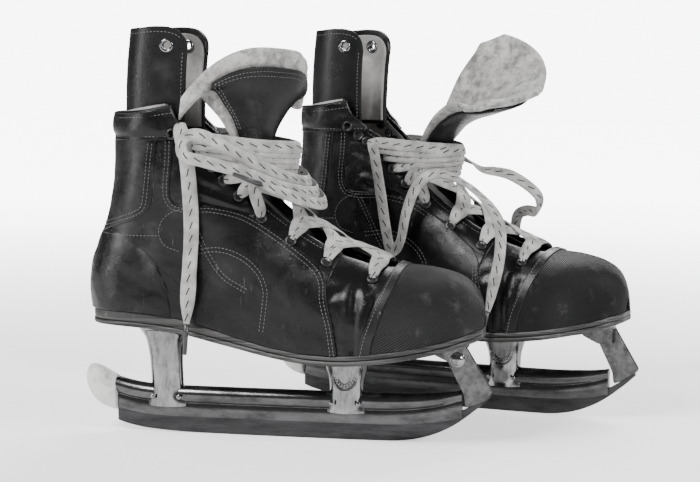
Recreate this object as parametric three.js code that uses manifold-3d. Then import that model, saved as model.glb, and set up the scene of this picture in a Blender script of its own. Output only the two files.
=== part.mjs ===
// A pair of leather ice hockey skates: lasted boots on tubular steel runners.
// Each skate is modelled as a right skate, then the left one is mirrored. Skate frame, in
// millimetres: X from the runner's rear tip towards the toe, Y towards the inner (medial) side,
// Z up from the ice. The part's origin is the middle of the right blade's flat, at the ice.
import * as THREE from "three";
import { mergeVertices } from "three/addons/utils/BufferGeometryUtils.js";
import Module from "manifold-3d";

const wasm = await Module();
wasm.setup();

// ---------------------------------------------------------------- driving dimensions
const GAP = 0.3; // between pieces that touch
const WALL = 4; // boot wall: leather, stiffener and lining
const TOE_X = 300.5; // front of the toe cap
const HEEL_X = 8; // back of the heel
const SECTION_SIDES = 8; // wall points on each side of a boot section

const BLADE_THICKNESS = 3.4;
const BLADE_TOP = 17; // the blade runs this far up inside the runner's flanges
const FLANGE_BOTTOM = 12;
const FLANGE_WIDTH = 6.4;
const TUBE_RADIUS = 6.6;
const TUBE_AXIS_Z = 28.5;
const RUNNER_FRONT = 308; // tip of the toe strut

const MIDSOLE_THICKNESS = 3.6;
const HEEL_WEDGE = 3.4; // added to the midsole under the heel
const OUTSOLE_THICKNESS = 3.2;
const INSOLE_THICKNESS = 2.5;
const SOLE_MARGIN = 2.2; // how far the sole stands out past the boot wall

const HEEL_POST_X = 61;
const BALL_POST_X = 200;
const POST_FLANGE_THICKNESS = 2.2;
const STRUT_THICKNESS = 3.2;
const RIVET_RADIUS = 4.2;
const LUG_THICKNESS = 2.2;
const LUG_HALF_WIDTH = 16;

const EYELET_ROWS = 11;
const EYELET_FROM_EDGE = 9; // eyelet centres to the facing's front edge
const LACE_WIDTH = 11;
const LACE_THICKNESS = 1.6;
const LACED_WIDTH = 7; // the lace is pulled narrow where it is under tension
const LACE_GATHERED = 0.4; // share of that width that squeezes into an eyelet
const LACE_HEIGHT = 2.6; // of the lace's middle over the facing
const LACE_PASSES = 4.4; // how far beside the other end's eyelet a lace runs
const LACE_BUNCHING = 3.5; // from bar to bar up the front of the tongue, for each section
const BUNCH_FLANK = { x: 138.5, y: 28.6, z: 185.5 }; // where the bunched bars leave the tongue's sides
const BUNCH_FRONT = { x: 155.8, z: 184.5 }; // and where they cross its front
const BUNCH_GATHERED = 0.45;
const TONGUE_LEAVES = 9.8; // the section where the tongue leaves the boot
const AGLET_LENGTH = 22;

const COLLAR_TOP = 240;
const COLLAR_HEIGHT = 25;
const GUARD_TOP = 301;
const GUARD_FOOT = 224; // lower edge of the tendon guard, inside the collar
const GUARD_THICKNESS = 3;
const GUARD_LINING = 2.4;
const LINING_FROM = GUARD_THICKNESS + GAP; // in from the guard's outside

const TONGUE_LEATHER = 2.4;
const TONGUE_FELT = 3.2;

const BLADE_FLAT = [85, 230]; // the straight stretch of the blade's edge
const LEFT_SHIFT_X = 102;
const LEFT_SHIFT_Y = 140;
const LEFT_YAW = THREE.MathUtils.degToRad(-13);

// ---------------------------------------------------------------- curves and the boot's form
// A smooth function through [input, output] rows, with flat ends.
function through(rows) {
  const slope = rows.map((row, i) => {
    const a = rows[Math.max(0, i - 1)];
    const b = rows[Math.min(rows.length - 1, i + 1)];
    return (b[1] - a[1]) / (b[0] - a[0]);
  });
  return (x) => {
    if (x <= rows[0][0]) return rows[0][1];
    if (x >= rows.at(-1)[0]) return rows.at(-1)[1];
    let i = 0;
    while (x > rows[i + 1][0]) i++;
    const h = rows[i + 1][0] - rows[i][0];
    const s = (x - rows[i][0]) / h;
    const a = rows[i][1];
    const b = rows[i + 1][1];
    return (
      (2 * s ** 3 - 3 * s ** 2 + 1) * a +
      (s ** 3 - 2 * s ** 2 + s) * h * slope[i] +
      (3 * s ** 2 - 2 * s ** 3) * b +
      (s ** 3 - s ** 2) * h * slope[i + 1]
    );
  };
}

// Height of the boot wall's lower edge, where it meets the sole.
const soleLine = through([
  [0, 95], [40, 94.5], [80, 90.5], [115, 81], [145, 73.5], [175, 69.5], [205, 69], [240, 72.5], [275, 79], [302, 86],
]);
// The back of the boot, as X for each height: round heel, narrow tendon, straight cuff.
const backLine = through([
  [80, 10], [95, HEEL_X + 1.5], [110, HEEL_X], [128, 10.5], [143, 15.5], [158, 22], [175, 26.5], [200, 29.5], [250, 31],
]);
// Half-width of the foot part along X, before the heel and toe are rounded.
const footHalfWidth = through([
  [0, 34], [60, 33.5], [95, 33], [120, 34], [150, 38], [180, 43.5], [210, 47], [240, 47], [270, 45.5], [300, 44],
]);
// Half-width of the ankle part by height.
const ankleHalfWidth = through([
  [95, 33.5], [120, 35], [150, 35.5], [175, 37.5], [200, 38], [225, 37.5], [250, 39],
]);
// The toe leans a little to the inner side.
const centreline = through([[0, 0], [150, 0], [220, 1], [300, 5]]);

// Each section of the boot is cut by a plane that turns from upright at the toe to level at the
// cuff. It runs from a point on the sole or the back to a point on the instep ridge.
const SECTIONS = [
  [300.3, 86.5, 300.5, 95],
  [298, 85, 298.3, 105],
  [292, 83.5, 291.5, 116],
  [281, 80.5, 280, 123],
  [262, 76, 263, 127],
  [240, 72.5, 243, 129.5],
  [215, 69.4, 224, 134.5],
  [188, 69, 205, 142],
  [160, 71, 186, 152.5],
  [130, 77, 168, 165],
  [98, 86, 152, 178],
  [64, 92.5, 139, 191],
  [32, 94.6, 130, 201],
  [10, 95, 122, 211],
  [8.2, 112, 117.5, 218],
  [11.5, 132, 113.5, 225],
  [21, 156, 110.5, 231],
  [27, 184, 108, 237.5],
  [29.5, 212, 106.5, 243],
  [31, 248, 105, 253],
];
const LAST = SECTIONS.length - 1;
const HEEL_SECTION = 13; // the first section whose back end is on the back of the boot

function sectionAt(t) {
  const columns = [0, 1, 2, 3].map((k) => through(SECTIONS.map((row, i) => [i, row[k]])));
  return columns.map((f) => f(t));
}

const roundOff = (share, power) => (1 - (1 - THREE.MathUtils.clamp(share, 0, 1)) ** power) ** (1 / power);

// Half-width of the boot at a point of its side view, a distance below the instep ridge.
function halfWidth(x, z, belowRidge) {
  const ankle = THREE.MathUtils.smoothstep(z, 105, 165);
  const rearward = THREE.MathUtils.smoothstep(190 - x, 20, 80);
  const side = THREE.MathUtils.lerp(footHalfWidth(x), ankleHalfWidth(z), ankle * rearward);
  const heel = roundOff((x - backLine(z)) / 36, 2.15);
  const toe = roundOff((TOE_X - x) / 66, 2.35);
  const toeBox = THREE.MathUtils.smoothstep(x, 215, 262);
  const top = roundOff(belowRidge / THREE.MathUtils.lerp(50, 42, toeBox), THREE.MathUtils.lerp(2, 2.5, toeBox));
  return side * heel * toe * top;
}

// A point of the boot's skin: t is the section, share runs from the sole or back (0) to the ridge
// (1), side is -1 for the outer and 1 for the inner half, inset moves it into the wall.
function skin(t, share, side, inset = 0) {
  const [bx, bz, tx, tz] = sectionAt(t);
  const length = Math.hypot(tx - bx, tz - bz);
  const x = bx + (tx - bx) * share;
  const z = bz + (tz - bz) * share;
  const w = Math.max(halfWidth(x, z, length * (1 - share)), 0.7);
  const p = new THREE.Vector3(x, side * w + centreline(x), z);
  if (!inset) return p;
  const atBack = share === 0 && t >= HEEL_SECTION;
  const inward = atBack
    ? new THREE.Vector3(tx - bx, 0, tz - bz).divideScalar(length)
    : skinNormal(t, share, side).negate();
  p.addScaledVector(inward, inset);
  p.y = centreline(x) + side * Math.max(0.6, side * (p.y - centreline(x))); // stays on its own side
  return p;
}

function skinNormal(t, share, side) {
  const dt = 0.05;
  const ds = 0.01;
  const s0 = Math.max(0, share - ds);
  const s1 = Math.min(1, share + ds);
  const along = skin(Math.min(LAST, t + dt), share, side).sub(skin(Math.max(0, t - dt), share, side));
  const up = skin(t, s1, side).sub(skin(t, s0, side));
  const n = along.cross(up).normalize();
  return n.y * side < 0 ? n.negate() : n;
}

// ---------------------------------------------------------------- solids
function geometryOf(points, triangles) {
  const geometry = new THREE.BufferGeometry();
  const numbers = points.flatMap((p) => [p.x, p.y, p.z]);
  geometry.setAttribute("position", new THREE.Float32BufferAttribute(numbers, 3));
  geometry.setIndex(triangles.flat());
  return signedVolume(geometry) < 0 ? flipped(geometry) : geometry;
}

function signedVolume(geometry) {
  const p = geometry.getAttribute("position");
  const at = (i) => new THREE.Vector3().fromBufferAttribute(p, i);
  let sum = 0;
  for (let i = 0; i < geometry.index.count; i += 3) {
    const [a, b, c] = [0, 1, 2].map((k) => at(geometry.index.getX(i + k)));
    sum += a.dot(b.cross(c)) / 6;
  }
  return sum;
}

function flipped(geometry) {
  const index = geometry.index.array;
  for (let i = 0; i < index.length; i += 3) [index[i + 1], index[i + 2]] = [index[i + 2], index[i + 1]];
  return geometry;
}

// A closed body through rings of the same number of points, with a fan at each end.
function loft(rings) {
  const n = rings[0].length;
  const points = rings.flat();
  const triangles = [];
  for (let i = 0; i < rings.length - 1; i++)
    for (let j = 0; j < n; j++) {
      const [a, b] = [i * n + j, i * n + ((j + 1) % n)];
      triangles.push([a, b, b + n], [a, b + n, a + n]);
    }
  for (const [ring, start, turn] of [[rings[0], 0, 1], [rings.at(-1), (rings.length - 1) * n, 0]]) {
    const middle = ring.reduce((sum, p) => sum.add(p), new THREE.Vector3()).divideScalar(n);
    const m = points.push(middle) - 1;
    for (let j = 0; j < n; j++) {
      const [a, b] = [start + j, start + ((j + 1) % n)];
      triangles.push(turn ? [m, b, a] : [m, a, b]);
    }
  }
  return geometryOf(points, triangles);
}

// A slab between two grids of points of the same size, closed round its edges.
function slab(outer, inner) {
  const rows = outer.length;
  const n = outer[0].length;
  const ring = (i) => [...outer[i], ...[...inner[i]].reverse()];
  const points = [];
  for (let i = 0; i < rows; i++) points.push(...ring(i));
  const triangles = [];
  const k = 2 * n;
  for (let i = 0; i < rows - 1; i++)
    for (let j = 0; j < k; j++) {
      const [a, b] = [i * k + j, i * k + ((j + 1) % k)];
      // The two faces part their squares along the same diagonals, so that stacked slabs stay clear.
      if (j < n) triangles.push([a, b, b + k], [a, b + k, a + k]);
      else triangles.push([a, b, a + k], [b, b + k, a + k]);
    }
  for (const [start, turn] of [[0, 1], [(rows - 1) * k, 0]])
    for (let j = 0; j < n - 1; j++) {
      const [a, b, c, d] = [start + j, start + j + 1, start + k - 2 - j, start + k - 1 - j];
      if (turn) triangles.push([a, c, b], [a, d, c]);
      else triangles.push([a, b, c], [a, c, d]);
    }
  return geometryOf(points, triangles);
}

// A side-view outline of [x, z] points, extruded between two values of Y.
function sidePrism(outline, from, to) {
  const shape = new THREE.Shape(outline.map(([x, z]) => new THREE.Vector2(x, z)));
  const geometry = new THREE.ExtrudeGeometry(shape, { depth: to - from, bevelEnabled: false });
  return geometry.rotateX(Math.PI / 2).translate(0, to, 0);
}

// A flat lace along points, each with the direction that its flat face looks in.
function ribbon(stations, width = LACE_WIDTH, stepsEach = 2) {
  const places = stations.map((s) => new THREE.Vector3(...s.slice(0, 3)));
  const facings = stations.map((s) => new THREE.Vector3(...s.slice(3, 6)));
  const curve = new THREE.CatmullRomCurve3(places, false, "centripetal");
  const steps = (stations.length - 1) * stepsEach;
  const rings = [];
  for (let i = 0; i <= steps; i++) {
    const u = i / steps;
    const p = curve.getPoint(u);
    const tangent = curve.getTangent(u);
    const at = u * (stations.length - 1);
    const k = Math.min(stations.length - 2, Math.floor(at));
    const face = facings[k].clone().lerp(facings[k + 1], at - k);
    const across = tangent.clone().cross(face).normalize();
    const out = across.clone().cross(tangent).normalize();
    const gathered = THREE.MathUtils.lerp(stations[k][6] ?? 1, stations[k + 1][6] ?? 1, at - k);
    across.multiplyScalar((width * gathered) / 2);
    out.multiplyScalar(LACE_THICKNESS / 2);
    rings.push([[1, 1], [1, -1], [-1, -1], [-1, 1]].map(([a, b]) =>
      p.clone().addScaledVector(across, a).addScaledVector(out, b)));
  }
  return loft(rings);
}

function solidOf(geometry) {
  const bare = geometry.clone();
  for (const name of Object.keys(bare.attributes)) if (name !== "position") bare.deleteAttribute(name);
  const merged = mergeVertices(bare, 1e-4);
  return new wasm.Manifold(new wasm.Mesh({
    numProp: 3,
    vertProperties: new Float32Array(merged.attributes.position.array),
    triVerts: new Uint32Array(merged.index.array),
  }));
}

function geometryFrom(solid) {
  const mesh = solid.getMesh();
  const geometry = new THREE.BufferGeometry();
  geometry.setAttribute("position", new THREE.BufferAttribute(new Float32Array(mesh.vertProperties), 3));
  geometry.setIndex(new THREE.BufferAttribute(new Uint32Array(mesh.triVerts), 1));
  return geometry;
}

// The largest of a solid's separate lumps: a cut can leave a sliver behind.
function mainLump(solid) {
  return solid.decompose().sort((a, b) => b.volume() - a.volume())[0];
}

// ---------------------------------------------------------------- the boot shell and its panels
const WALL_SHARES = Array.from({ length: SECTION_SIDES }, (_, i) => {
  return (1 - Math.cos((Math.PI * i) / SECTION_SIDES)) / 2;
});

function bootForm(inset, sinkSole, raiseTop) {
  const rings = [];
  for (let i = 0; i <= LAST; i++) {
    const half = (side) => WALL_SHARES.map((share) => skin(i, share, side, inset));
    const ridge = skin(i, 1, 1, 0);
    ridge.y = centreline(ridge.x);
    if (inset) ridge.addScaledVector(ridgeNormal(i), -inset);
    const [outer, inner] = [half(-1), half(1)];
    for (const row of [outer, inner]) if (i <= HEEL_SECTION) row[0].z -= sinkSole;
    if (i === LAST) for (const p of [...outer, ...inner, ridge]) p.z += raiseTop;
    const bottom = outer[0].clone().lerp(inner[0], 0.5);
    rings.push([bottom, ...inner, ridge, ...outer.reverse()]);
  }
  if (inset) {
    for (const p of rings[0]) p.x -= 1;
  }
  return solidOf(loft(rings));
}

const outerForm = bootForm(0, 2, 0);
const innerForm = bootForm(WALL, 14, 8);

// How far the facings' front edges lie below the ridge, by section: the boot gapes at the ankle, and
// over the toes the opening is wide enough for its wall to part.
const throatDepth = through([
  [5, 0], [6, 0.75 * WALL], [8, 1.5 * WALL], [10, 2 * WALL], [12, 9], [14, 11], [16, 17], [18, 26], [19, 31],
]);

// A point of the side view, a distance in from the ridge at section t.
function insideRidge(t, distance) {
  const [bx, bz, tx, tz] = sectionAt(t);
  const length = Math.hypot(tx - bx, tz - bz);
  return [tx + ((bx - tx) * distance) / length, tz + ((bz - tz) * distance) / length];
}

// The opening for the tongue: all that lies between the facings' front edges.
function throatCutter() {
  const stops = [5, 5.3, 6, 7, 8, 9, 10, 11, 12, 13, 14, 15, 16, 17, 18, 19];
  const edge = stops.map((t) => insideRidge(t, throatDepth(t)));
  const outside = [5, 9, 14, 19].map((t) => insideRidge(t, -25)).reverse();
  return solidOf(sidePrism([...edge, [78, 262], ...outside], -90, 90));
}

// The wall's lower edge is cut to the sole's line.
const SOLE_STATIONS = [
  0, 10.5, 14, 21, 32, 50, 80, 105, 130, 155, 180, 205, 230, 250, 268, 281, 291, 297, 300, 310,
];
const soleEdge = SOLE_STATIONS.map((x) => [x, soleLine(x)]);
const underSoleLine = solidOf(sidePrism([...soleEdge, [310, 40], [0, 40]], -90, 90));

const shell = outerForm.subtract(innerForm).subtract(throatCutter()).subtract(underSoleLine);

// Seam lines in the side view, each cut through the shell as a slot one gap wide.
const COLLAR_SEAM_Z = COLLAR_TOP - COLLAR_HEIGHT;
const SEAMS = [
  [[228, 50], [236, 95], [249, 150]], // toe cap to vamp
  [[203, 50], [202, 100], [196, 118], [208, 150]], // vamp to quarters and facings
  // quarters to facings
  [[196, 118], [168, 131], [139, 150], [114, 166], [100, 172], [97, COLLAR_SEAM_Z], [97, 260]],
  [[80, 60], [74, 110], [62, 134], [40, 148], [0, 150]], // heel counter
  [[40, 148], [56, 162], [60, 180], [60, COLLAR_SEAM_Z]], // backstay
  [[0, COLLAR_SEAM_Z], [97, COLLAR_SEAM_Z]], // collar
];

// The middle of each panel's box, to tell the pieces of the cut shell apart.
const PANEL_PLACES = {
  toe_cap: [270, 0, 100],
  vamp: [220, 0, 100],
  facing_outer: [150, -28, 170],
  facing_inner: [150, 28, 170],
  quarter_outer: [130, -36, 130],
  quarter_inner: [130, 36, 130],
  heel_counter: [40, 0, 120],
  backstay: [42, 0, 185],
  collar: [62, 0, 228],
};

function seamCutter(line) {
  const points = line.map(([x, z]) => new THREE.Vector2(x, z));
  const sides = points.map((p, i) => {
    const before = points[Math.max(0, i - 1)];
    const after = points[Math.min(points.length - 1, i + 1)];
    const across = after.clone().sub(before).normalize();
    return [across.y, -across.x].map((v) => (v * GAP) / 2);
  });
  const outline = [
    ...points.map((p, i) => [p.x + sides[i][0], p.y + sides[i][1]]),
    ...points.map((p, i) => [p.x - sides[i][0], p.y - sides[i][1]]).reverse(),
  ];
  return solidOf(sidePrism(outline, -90, 90));
}

// The wall is trimmed level with the cuff, then parted along its seams.
function cutPanels() {
  const cuff = [[-20, 0], [60, -1], [88, 3], [98, 5], [103, 6], [130, 4]].map(([x, rise]) => [x, COLLAR_TOP + rise]);
  const trim = [...cuff, [130, 300], [-20, 300]];
  let cut = shell.subtract(solidOf(sidePrism(trim, -90, 90)));
  for (const line of SEAMS) cut = cut.subtract(seamCutter(line));
  return cut.decompose().filter((lump) => lump.volume() > 50).map((lump) => {
    const box = lump.boundingBox();
    return { lump, middle: [0, 1, 2].map((k) => (box.min[k] + box.max[k]) / 2) };
  });
}

const panels = cutPanels();

function panel(name) {
  const place = new THREE.Vector3(...PANEL_PLACES[name]);
  const distance = ({ middle }) => place.distanceTo(new THREE.Vector3(...middle));
  return geometryFrom([...panels].sort((a, b) => distance(a) - distance(b))[0].lump);
}

// ---------------------------------------------------------------- soles
// A plate under or in the boot: margin is added to the wall's half-width at the sole.
function solePlate(margin, top, bottom, first = 1, last = 1) {
  const stations = SOLE_STATIONS.slice(first, SOLE_STATIONS.length - last);
  const rings = stations.map((x) => {
    const w = Math.max(halfWidth(x, soleLine(x), 100) + margin, 1.5);
    const c = centreline(x);
    const corner = (y, z) => new THREE.Vector3(x, y + c, z);
    return [corner(-w, top(x)), corner(w, top(x)), corner(w, bottom(x)), corner(-w, bottom(x))];
  });
  return loft(rings);
}

const wedge = (x) => HEEL_WEDGE * (1 - THREE.MathUtils.smoothstep(x, 70, 150));
const midsoleTop = (x) => soleLine(x) - GAP;
const midsoleBottom = (x) => midsoleTop(x) - MIDSOLE_THICKNESS - wedge(x);
const outsoleTop = (x) => midsoleBottom(x) - GAP;
const outsoleBottom = (x) => outsoleTop(x) - OUTSOLE_THICKNESS;
const aboveOutsoleBottom = solidOf(solePlate(40, (x) => soleLine(x) + 30, (x) => outsoleBottom(x) - GAP, 0, 0));

function insolePlate() {
  const plate = solidOf(solePlate(0, (x) => soleLine(x) + INSOLE_THICKNESS, soleLine));
  return geometryFrom(mainLump(plate.intersect(bootForm(WALL + GAP, 14, 8))));
}

// ---------------------------------------------------------------- runner
// Rise of the runner's centre above its straight middle: it curls up at the back and the front.
const runnerRise = through([
  [2, 15], [14, 9.5], [28, 4.6], [46, 1.2], [70, 0], [215, 0], [245, 0.8], [268, 3.4], [286, 7.5],
]);
const bladeBottom = through([
  [16, 11], [24, 7.4], [34, 4.4], [50, 1.8], [BLADE_FLAT[0], 0],
  [BLADE_FLAT[1], 0], [255, 3], [277, 12], [296, 26], [306, 35],
]);

const RUNNER_STATIONS = [24, 36, 50, 70, 140, 215, 240, 258, 272, 282];
const runnerTaper = through([[24, 1], [225, 1], [260, 0.82], [282, 0.5]]);

// The runner's keyhole section along its length: a round tube over a pinched pair of flanges.
function runnerForm(grow, flangeBottom, stations = RUNNER_STATIONS) {
  return loft(stations.map((x) => {
    const rise = runnerRise(x);
    const radius = TUBE_RADIUS * runnerTaper(x) + grow;
    const flange = (FLANGE_WIDTH / 2) * Math.max(runnerTaper(x), 0.8) + grow;
    const arc = Array.from({ length: 11 }, (_, k) => {
      const angle = THREE.MathUtils.degToRad(-52 + 28.4 * k);
      return new THREE.Vector3(x, radius * Math.cos(angle), TUBE_AXIS_Z + rise + radius * Math.sin(angle));
    });
    const foot = flangeBottom + rise;
    return [...arc, new THREE.Vector3(x, -flange, foot), new THREE.Vector3(x, flange, foot)];
  }));
}

function bladeSolid() {
  const under = [306, 298, 288, 277, 266, 255, 242, BLADE_FLAT[1], BLADE_FLAT[0], 66, 50, 38, 30, 24.4];
  const bottom = under.map((x) => [x, bladeBottom(x)]);
  const top = [24.4, 32, 40, 60, 215, 245, 268, 286].map((x) => [x, BLADE_TOP + runnerRise(x)]);
  return sidePrism([...bottom, ...top, [RUNNER_FRONT, 37]], -BLADE_THICKNESS / 2, BLADE_THICKNESS / 2);
}

// The blade fits in a slot in the runner's flanges.
function bladeSlot() {
  const low = [[286, -5], [20, -5]];
  const high = [20, 24.4, 32, 40, 60, 215, 245, 268, 286].map((x) => [x, BLADE_TOP + GAP + runnerRise(x)]);
  return sidePrism([...low, ...high], -BLADE_THICKNESS / 2 - GAP, BLADE_THICKNESS / 2 + GAP);
}

function runnerTube() {
  return geometryFrom(solidOf(runnerForm(0, FLANGE_BOTTOM)).subtract(solidOf(bladeSlot())));
}

// The moulded cap over the runner's rear end.
function safetyTip() {
  const stations = [[23.5, 0.98, 0], [18, 1.12, 0.4], [11, 1.16, 2], [5, 1.0, 4.5], [1.5, 0.66, 7], [0, 0.25, 8]];
  const rings = stations.map(([x, fat, lift]) => {
    const base = FLANGE_BOTTOM + runnerRise(x) - 2;
    const top = TUBE_AXIS_Z + runnerRise(x) + TUBE_RADIUS;
    const [middle, tall] = [(base + top) / 2 + lift * 0.2, ((top - base) / 2) * fat];
    const wide = (TUBE_RADIUS + 0.6) * fat;
    return Array.from({ length: 10 }, (_, k) => {
      const a = (k / 10) * 2 * Math.PI;
      return new THREE.Vector3(x, wide * Math.cos(a), middle + tall * Math.sin(a));
    });
  });
  return loft(rings);
}

// A pressed post: it leans, flares to a plate under the sole and saddles the tube.
function post(x, lean, waist, foot, plate) {
  const base = FLANGE_BOTTOM + 8;
  const top = outsoleBottom(x);
  const rings = [
    [0, foot[0], foot[1]],
    [0.3, waist[0] * 0.98, waist[1]],
    [0.62, waist[0] * 1.02, waist[1] * 1.1],
    [0.82, waist[0] * 1.18, waist[1] * 1.5],
    [1 - 4 / (top - base), plate[0] * 0.86, plate[1] * 0.8],
    [1 - POST_FLANGE_THICKNESS / (top - base), plate[0], plate[1]],
    [1, plate[0], plate[1]],
  ].map(([h, a, b]) =>
    Array.from({ length: 14 }, (_, k) => {
      const angle = ((k + 0.5) / 14) * 2 * Math.PI;
      const dx = a * Math.sign(Math.cos(angle)) * Math.abs(Math.cos(angle)) ** 0.8;
      const slope = (outsoleBottom(x + dx) - top) * THREE.MathUtils.smoothstep(h, 0.6, 0.95);
      const z = THREE.MathUtils.lerp(base, top, h) + slope + (h === 1 ? 2 : 0);
      return new THREE.Vector3(x + lean * (1 - h) + dx, b * Math.sin(angle), z);
    }));
  const seat = solidOf(runnerForm(GAP, 0));
  return geometryFrom(mainLump(solidOf(loft(rings)).subtract(seat).subtract(aboveOutsoleBottom)));
}

// The toe strut: a bent flat bar from the blade's front tip up to a lug under the toe.
const RIVET_AT = [282, 62];

const strutOffset = BLADE_THICKNESS / 2 + GAP;

function toeStrut() {
  const outline = [
    [273, 71], [288, 72.5], [293, 64], [RUNNER_FRONT, 39.5], [300, 31.5], [288, 27], [287, 36], [276, 58],
  ];
  return sidePrism(outline, -strutOffset - STRUT_THICKNESS, -strutOffset);
}

function toeLug() {
  const [rear, webRear, webFront, front] = [250, 262, 288, 290];
  const under = (x, more) => [x, outsoleBottom(x) - GAP + more];
  const strutSide = -strutOffset + GAP;
  const room = [[webRear, 50], [300, 50], [300, 90], [webRear, 90]];
  const strutRoom = solidOf(sidePrism(room, -strutOffset - STRUT_THICKNESS - GAP, strutSide));
  const fin = [under(webRear, 1), under(webFront, 1), [webFront, 58], [277, 58], [webRear + 4, 64]];
  const web = solidOf(sidePrism(fin, strutSide, 4.5));
  const flat = [under(rear, 2), under(front, 2), under(front, -LUG_THICKNESS), under(rear, -LUG_THICKNESS)];
  const plate = solidOf(sidePrism(flat, -LUG_HALF_WIDTH, LUG_HALF_WIDTH));
  return geometryFrom(mainLump(plate.add(web).subtract(aboveOutsoleBottom).subtract(strutRoom)));
}

function strutRivet() {
  const dome = [[0, 0], [1, 0], [0.86, 1.4], [0.5, 2.3], [0, 2.6]];
  const points = dome.map(([share, height]) => new THREE.Vector2(share * RIVET_RADIUS, height));
  const y = strutOffset + STRUT_THICKNESS + GAP;
  return new THREE.LatheGeometry(points, 12).rotateX(Math.PI).translate(RIVET_AT[0], -y, RIVET_AT[1]);
}

// ---------------------------------------------------------------- tendon guard
// A trough of leather over plastic that stands up inside the back of the collar.
const guardBack = through([[215, 36.8], [240, 36.4], [270, 37.6], [301, 41]]);
const guardHalf = through([[215, 31.6 - WALL], [240, 32.3 - WALL], [301, 35.2 - WALL]]);

function guardPoint(share, z, inset) {
  // share from -1 to 1 goes round from the outer front edge, by the back, to the inner front edge
  const angle = share * THREE.MathUtils.degToRad(118);
  const a = 30 - inset;
  const b = guardHalf(z) - inset;
  const c = Math.cos(angle);
  const x = guardBack(z) + 30 - a * Math.sign(c) * Math.abs(c) ** 0.8 * (c < 0 ? 1.25 : 1);
  return new THREE.Vector3(x, b * Math.sign(Math.sin(angle)) * Math.abs(Math.sin(angle)) ** 0.7, z);
}

function guardShell(from, to, foot, head) {
  const columns = [-1, -0.96, -0.86, -0.7, -0.5, -0.33, -0.16, 0, 0.16, 0.33, 0.5, 0.7, 0.86, 0.96, 1];
  const rise = through([
    [0, head - 2], [0.5, head - 1], [0.75, head], [0.88, head - 3], [0.96, head - 10], [1, head - 17],
  ]);
  const levels = [0, 0.22, 0.5, 0.78, 0.93, 1];
  const height = (h, s) => THREE.MathUtils.lerp(foot, rise(Math.abs(s)), h);
  const grid = (inset) => levels.map((h) => columns.map((s) => guardPoint(s, height(h, s), inset)));
  return slab(grid(from), grid(to));
}

// ---------------------------------------------------------------- tongue
const TONGUE_INSET = WALL + 0.8;

function ridgeNormal(t) {
  return skinNormal(t, 0.97, 1).setY(0).normalize();
}

// The part under the laces follows the inside of the boot.
function tongueUnderLaces() {
  const rows = [5.4, 6, 7, 8, 9, 10, 10.4];
  const shares = [0.72, 0.84, 0.93, 0.98];
  const grid = (inset) => rows.map((t) => {
    const ridge = skin(t, 1, 1);
    ridge.y = centreline(ridge.x);
    ridge.addScaledVector(ridgeNormal(t), -inset);
    const half = (side) => shares.map((share) => skin(t, share, side, inset));
    return [...half(-1), ridge, ...half(1).reverse()];
  });
  const sheet = solidOf(slab(grid(TONGUE_INSET), grid(TONGUE_INSET + TONGUE_LEATHER + TONGUE_FELT)));
  return geometryFrom(mainLump(sheet.intersect(bootForm(WALL + GAP, 14, 8))));
}

// The free end above the laces is a scoop: a sheet bent round its own ridge and turned about it.
// u runs up the ridge and v across the sheet; both run past 0..1 and -1..1 where the felt shows.
function tonguePoint(pose, u, v, depth) {
  const ridge = pose.ridge.getPoint(Math.min(u, 1));
  const heading = pose.ridge.getTangent(Math.min(u, 1));
  ridge.addScaledVector(heading, Math.max(0, u - 1) * TONGUE_LENGTH);
  const turn = THREE.MathUtils.degToRad(pose.turn) * THREE.MathUtils.smoothstep(u, 0.1, 0.8);
  const back = new THREE.Vector3(-heading.z, 0, heading.x);
  const across = new THREE.Vector3(0, Math.cos(turn), 0).addScaledVector(back, -Math.sin(turn));
  const inward = back.multiplyScalar(Math.cos(turn)).add(new THREE.Vector3(0, Math.sin(turn), 0));
  const bend = tongueBend(u);
  const radius = tongueWidth(u) / bend;
  const angle = v * bend;
  const cornerDrop = 16 * Math.abs(v) ** 3 * THREE.MathUtils.smoothstep(u, 0.6, 1);
  return ridge.addScaledVector(across, (radius - depth) * Math.sin(angle))
    .addScaledVector(inward, radius - (radius - depth) * Math.cos(angle))
    .addScaledVector(heading, -cornerDrop);
}

const TONGUE_LENGTH = 95;
const FELT_STANDS_OUT = 0.14; // of the tongue's length and half-width, past the leather
const tongueWidth = through([[0, 18], [0.25, 22], [0.45, 32], [0.65, 47], [0.85, 54], [1, 55]]);
const tongueBend = through([[0, 1.1], [0.4, 1.05], [1, 0.72]]);

function tongueSheet(pose, from, thickness, over) {
  const along = [0, 0.15, 0.3, 0.45, 0.6, 0.75, 0.9, 1];
  const across = [-1, -0.75, -0.5, -0.25, 0, 0.25, 0.5, 0.75, 1];
  if (over) along.push(1 + over);
  const grid = (depth) => along.map((u) => {
    const brim = 1 + over * (0.1 + 1.5 * THREE.MathUtils.smoothstep(u, 0.3, 0.7));
    const columns = over ? [-brim, ...across, brim] : across;
    return columns.map((v) => tonguePoint(pose, u, v, depth));
  });
  return slab(grid(from), grid(from + thickness));
}

const ridgeLine = (points) => new THREE.CatmullRomCurve3(points.map(([x, z]) => new THREE.Vector3(x, 0, z)));

const UPRIGHT_TONGUE = {
  ridge: ridgeLine([[146, 189], [144, 205], [144, 222], [147, 240], [150, 256], [152, 271]]),
  turn: 30,
};
const FLOPPED_TONGUE = {
  ridge: ridgeLine([[146, 189], [150, 204], [160, 219], [177, 233], [200, 244], [220, 252]]),
  turn: 30,
};

// ---------------------------------------------------------------- laces
const eyeletSection = (row) => THREE.MathUtils.lerp(5.9, 17.4, (row / (EYELET_ROWS - 1)) ** 0.85);

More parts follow.
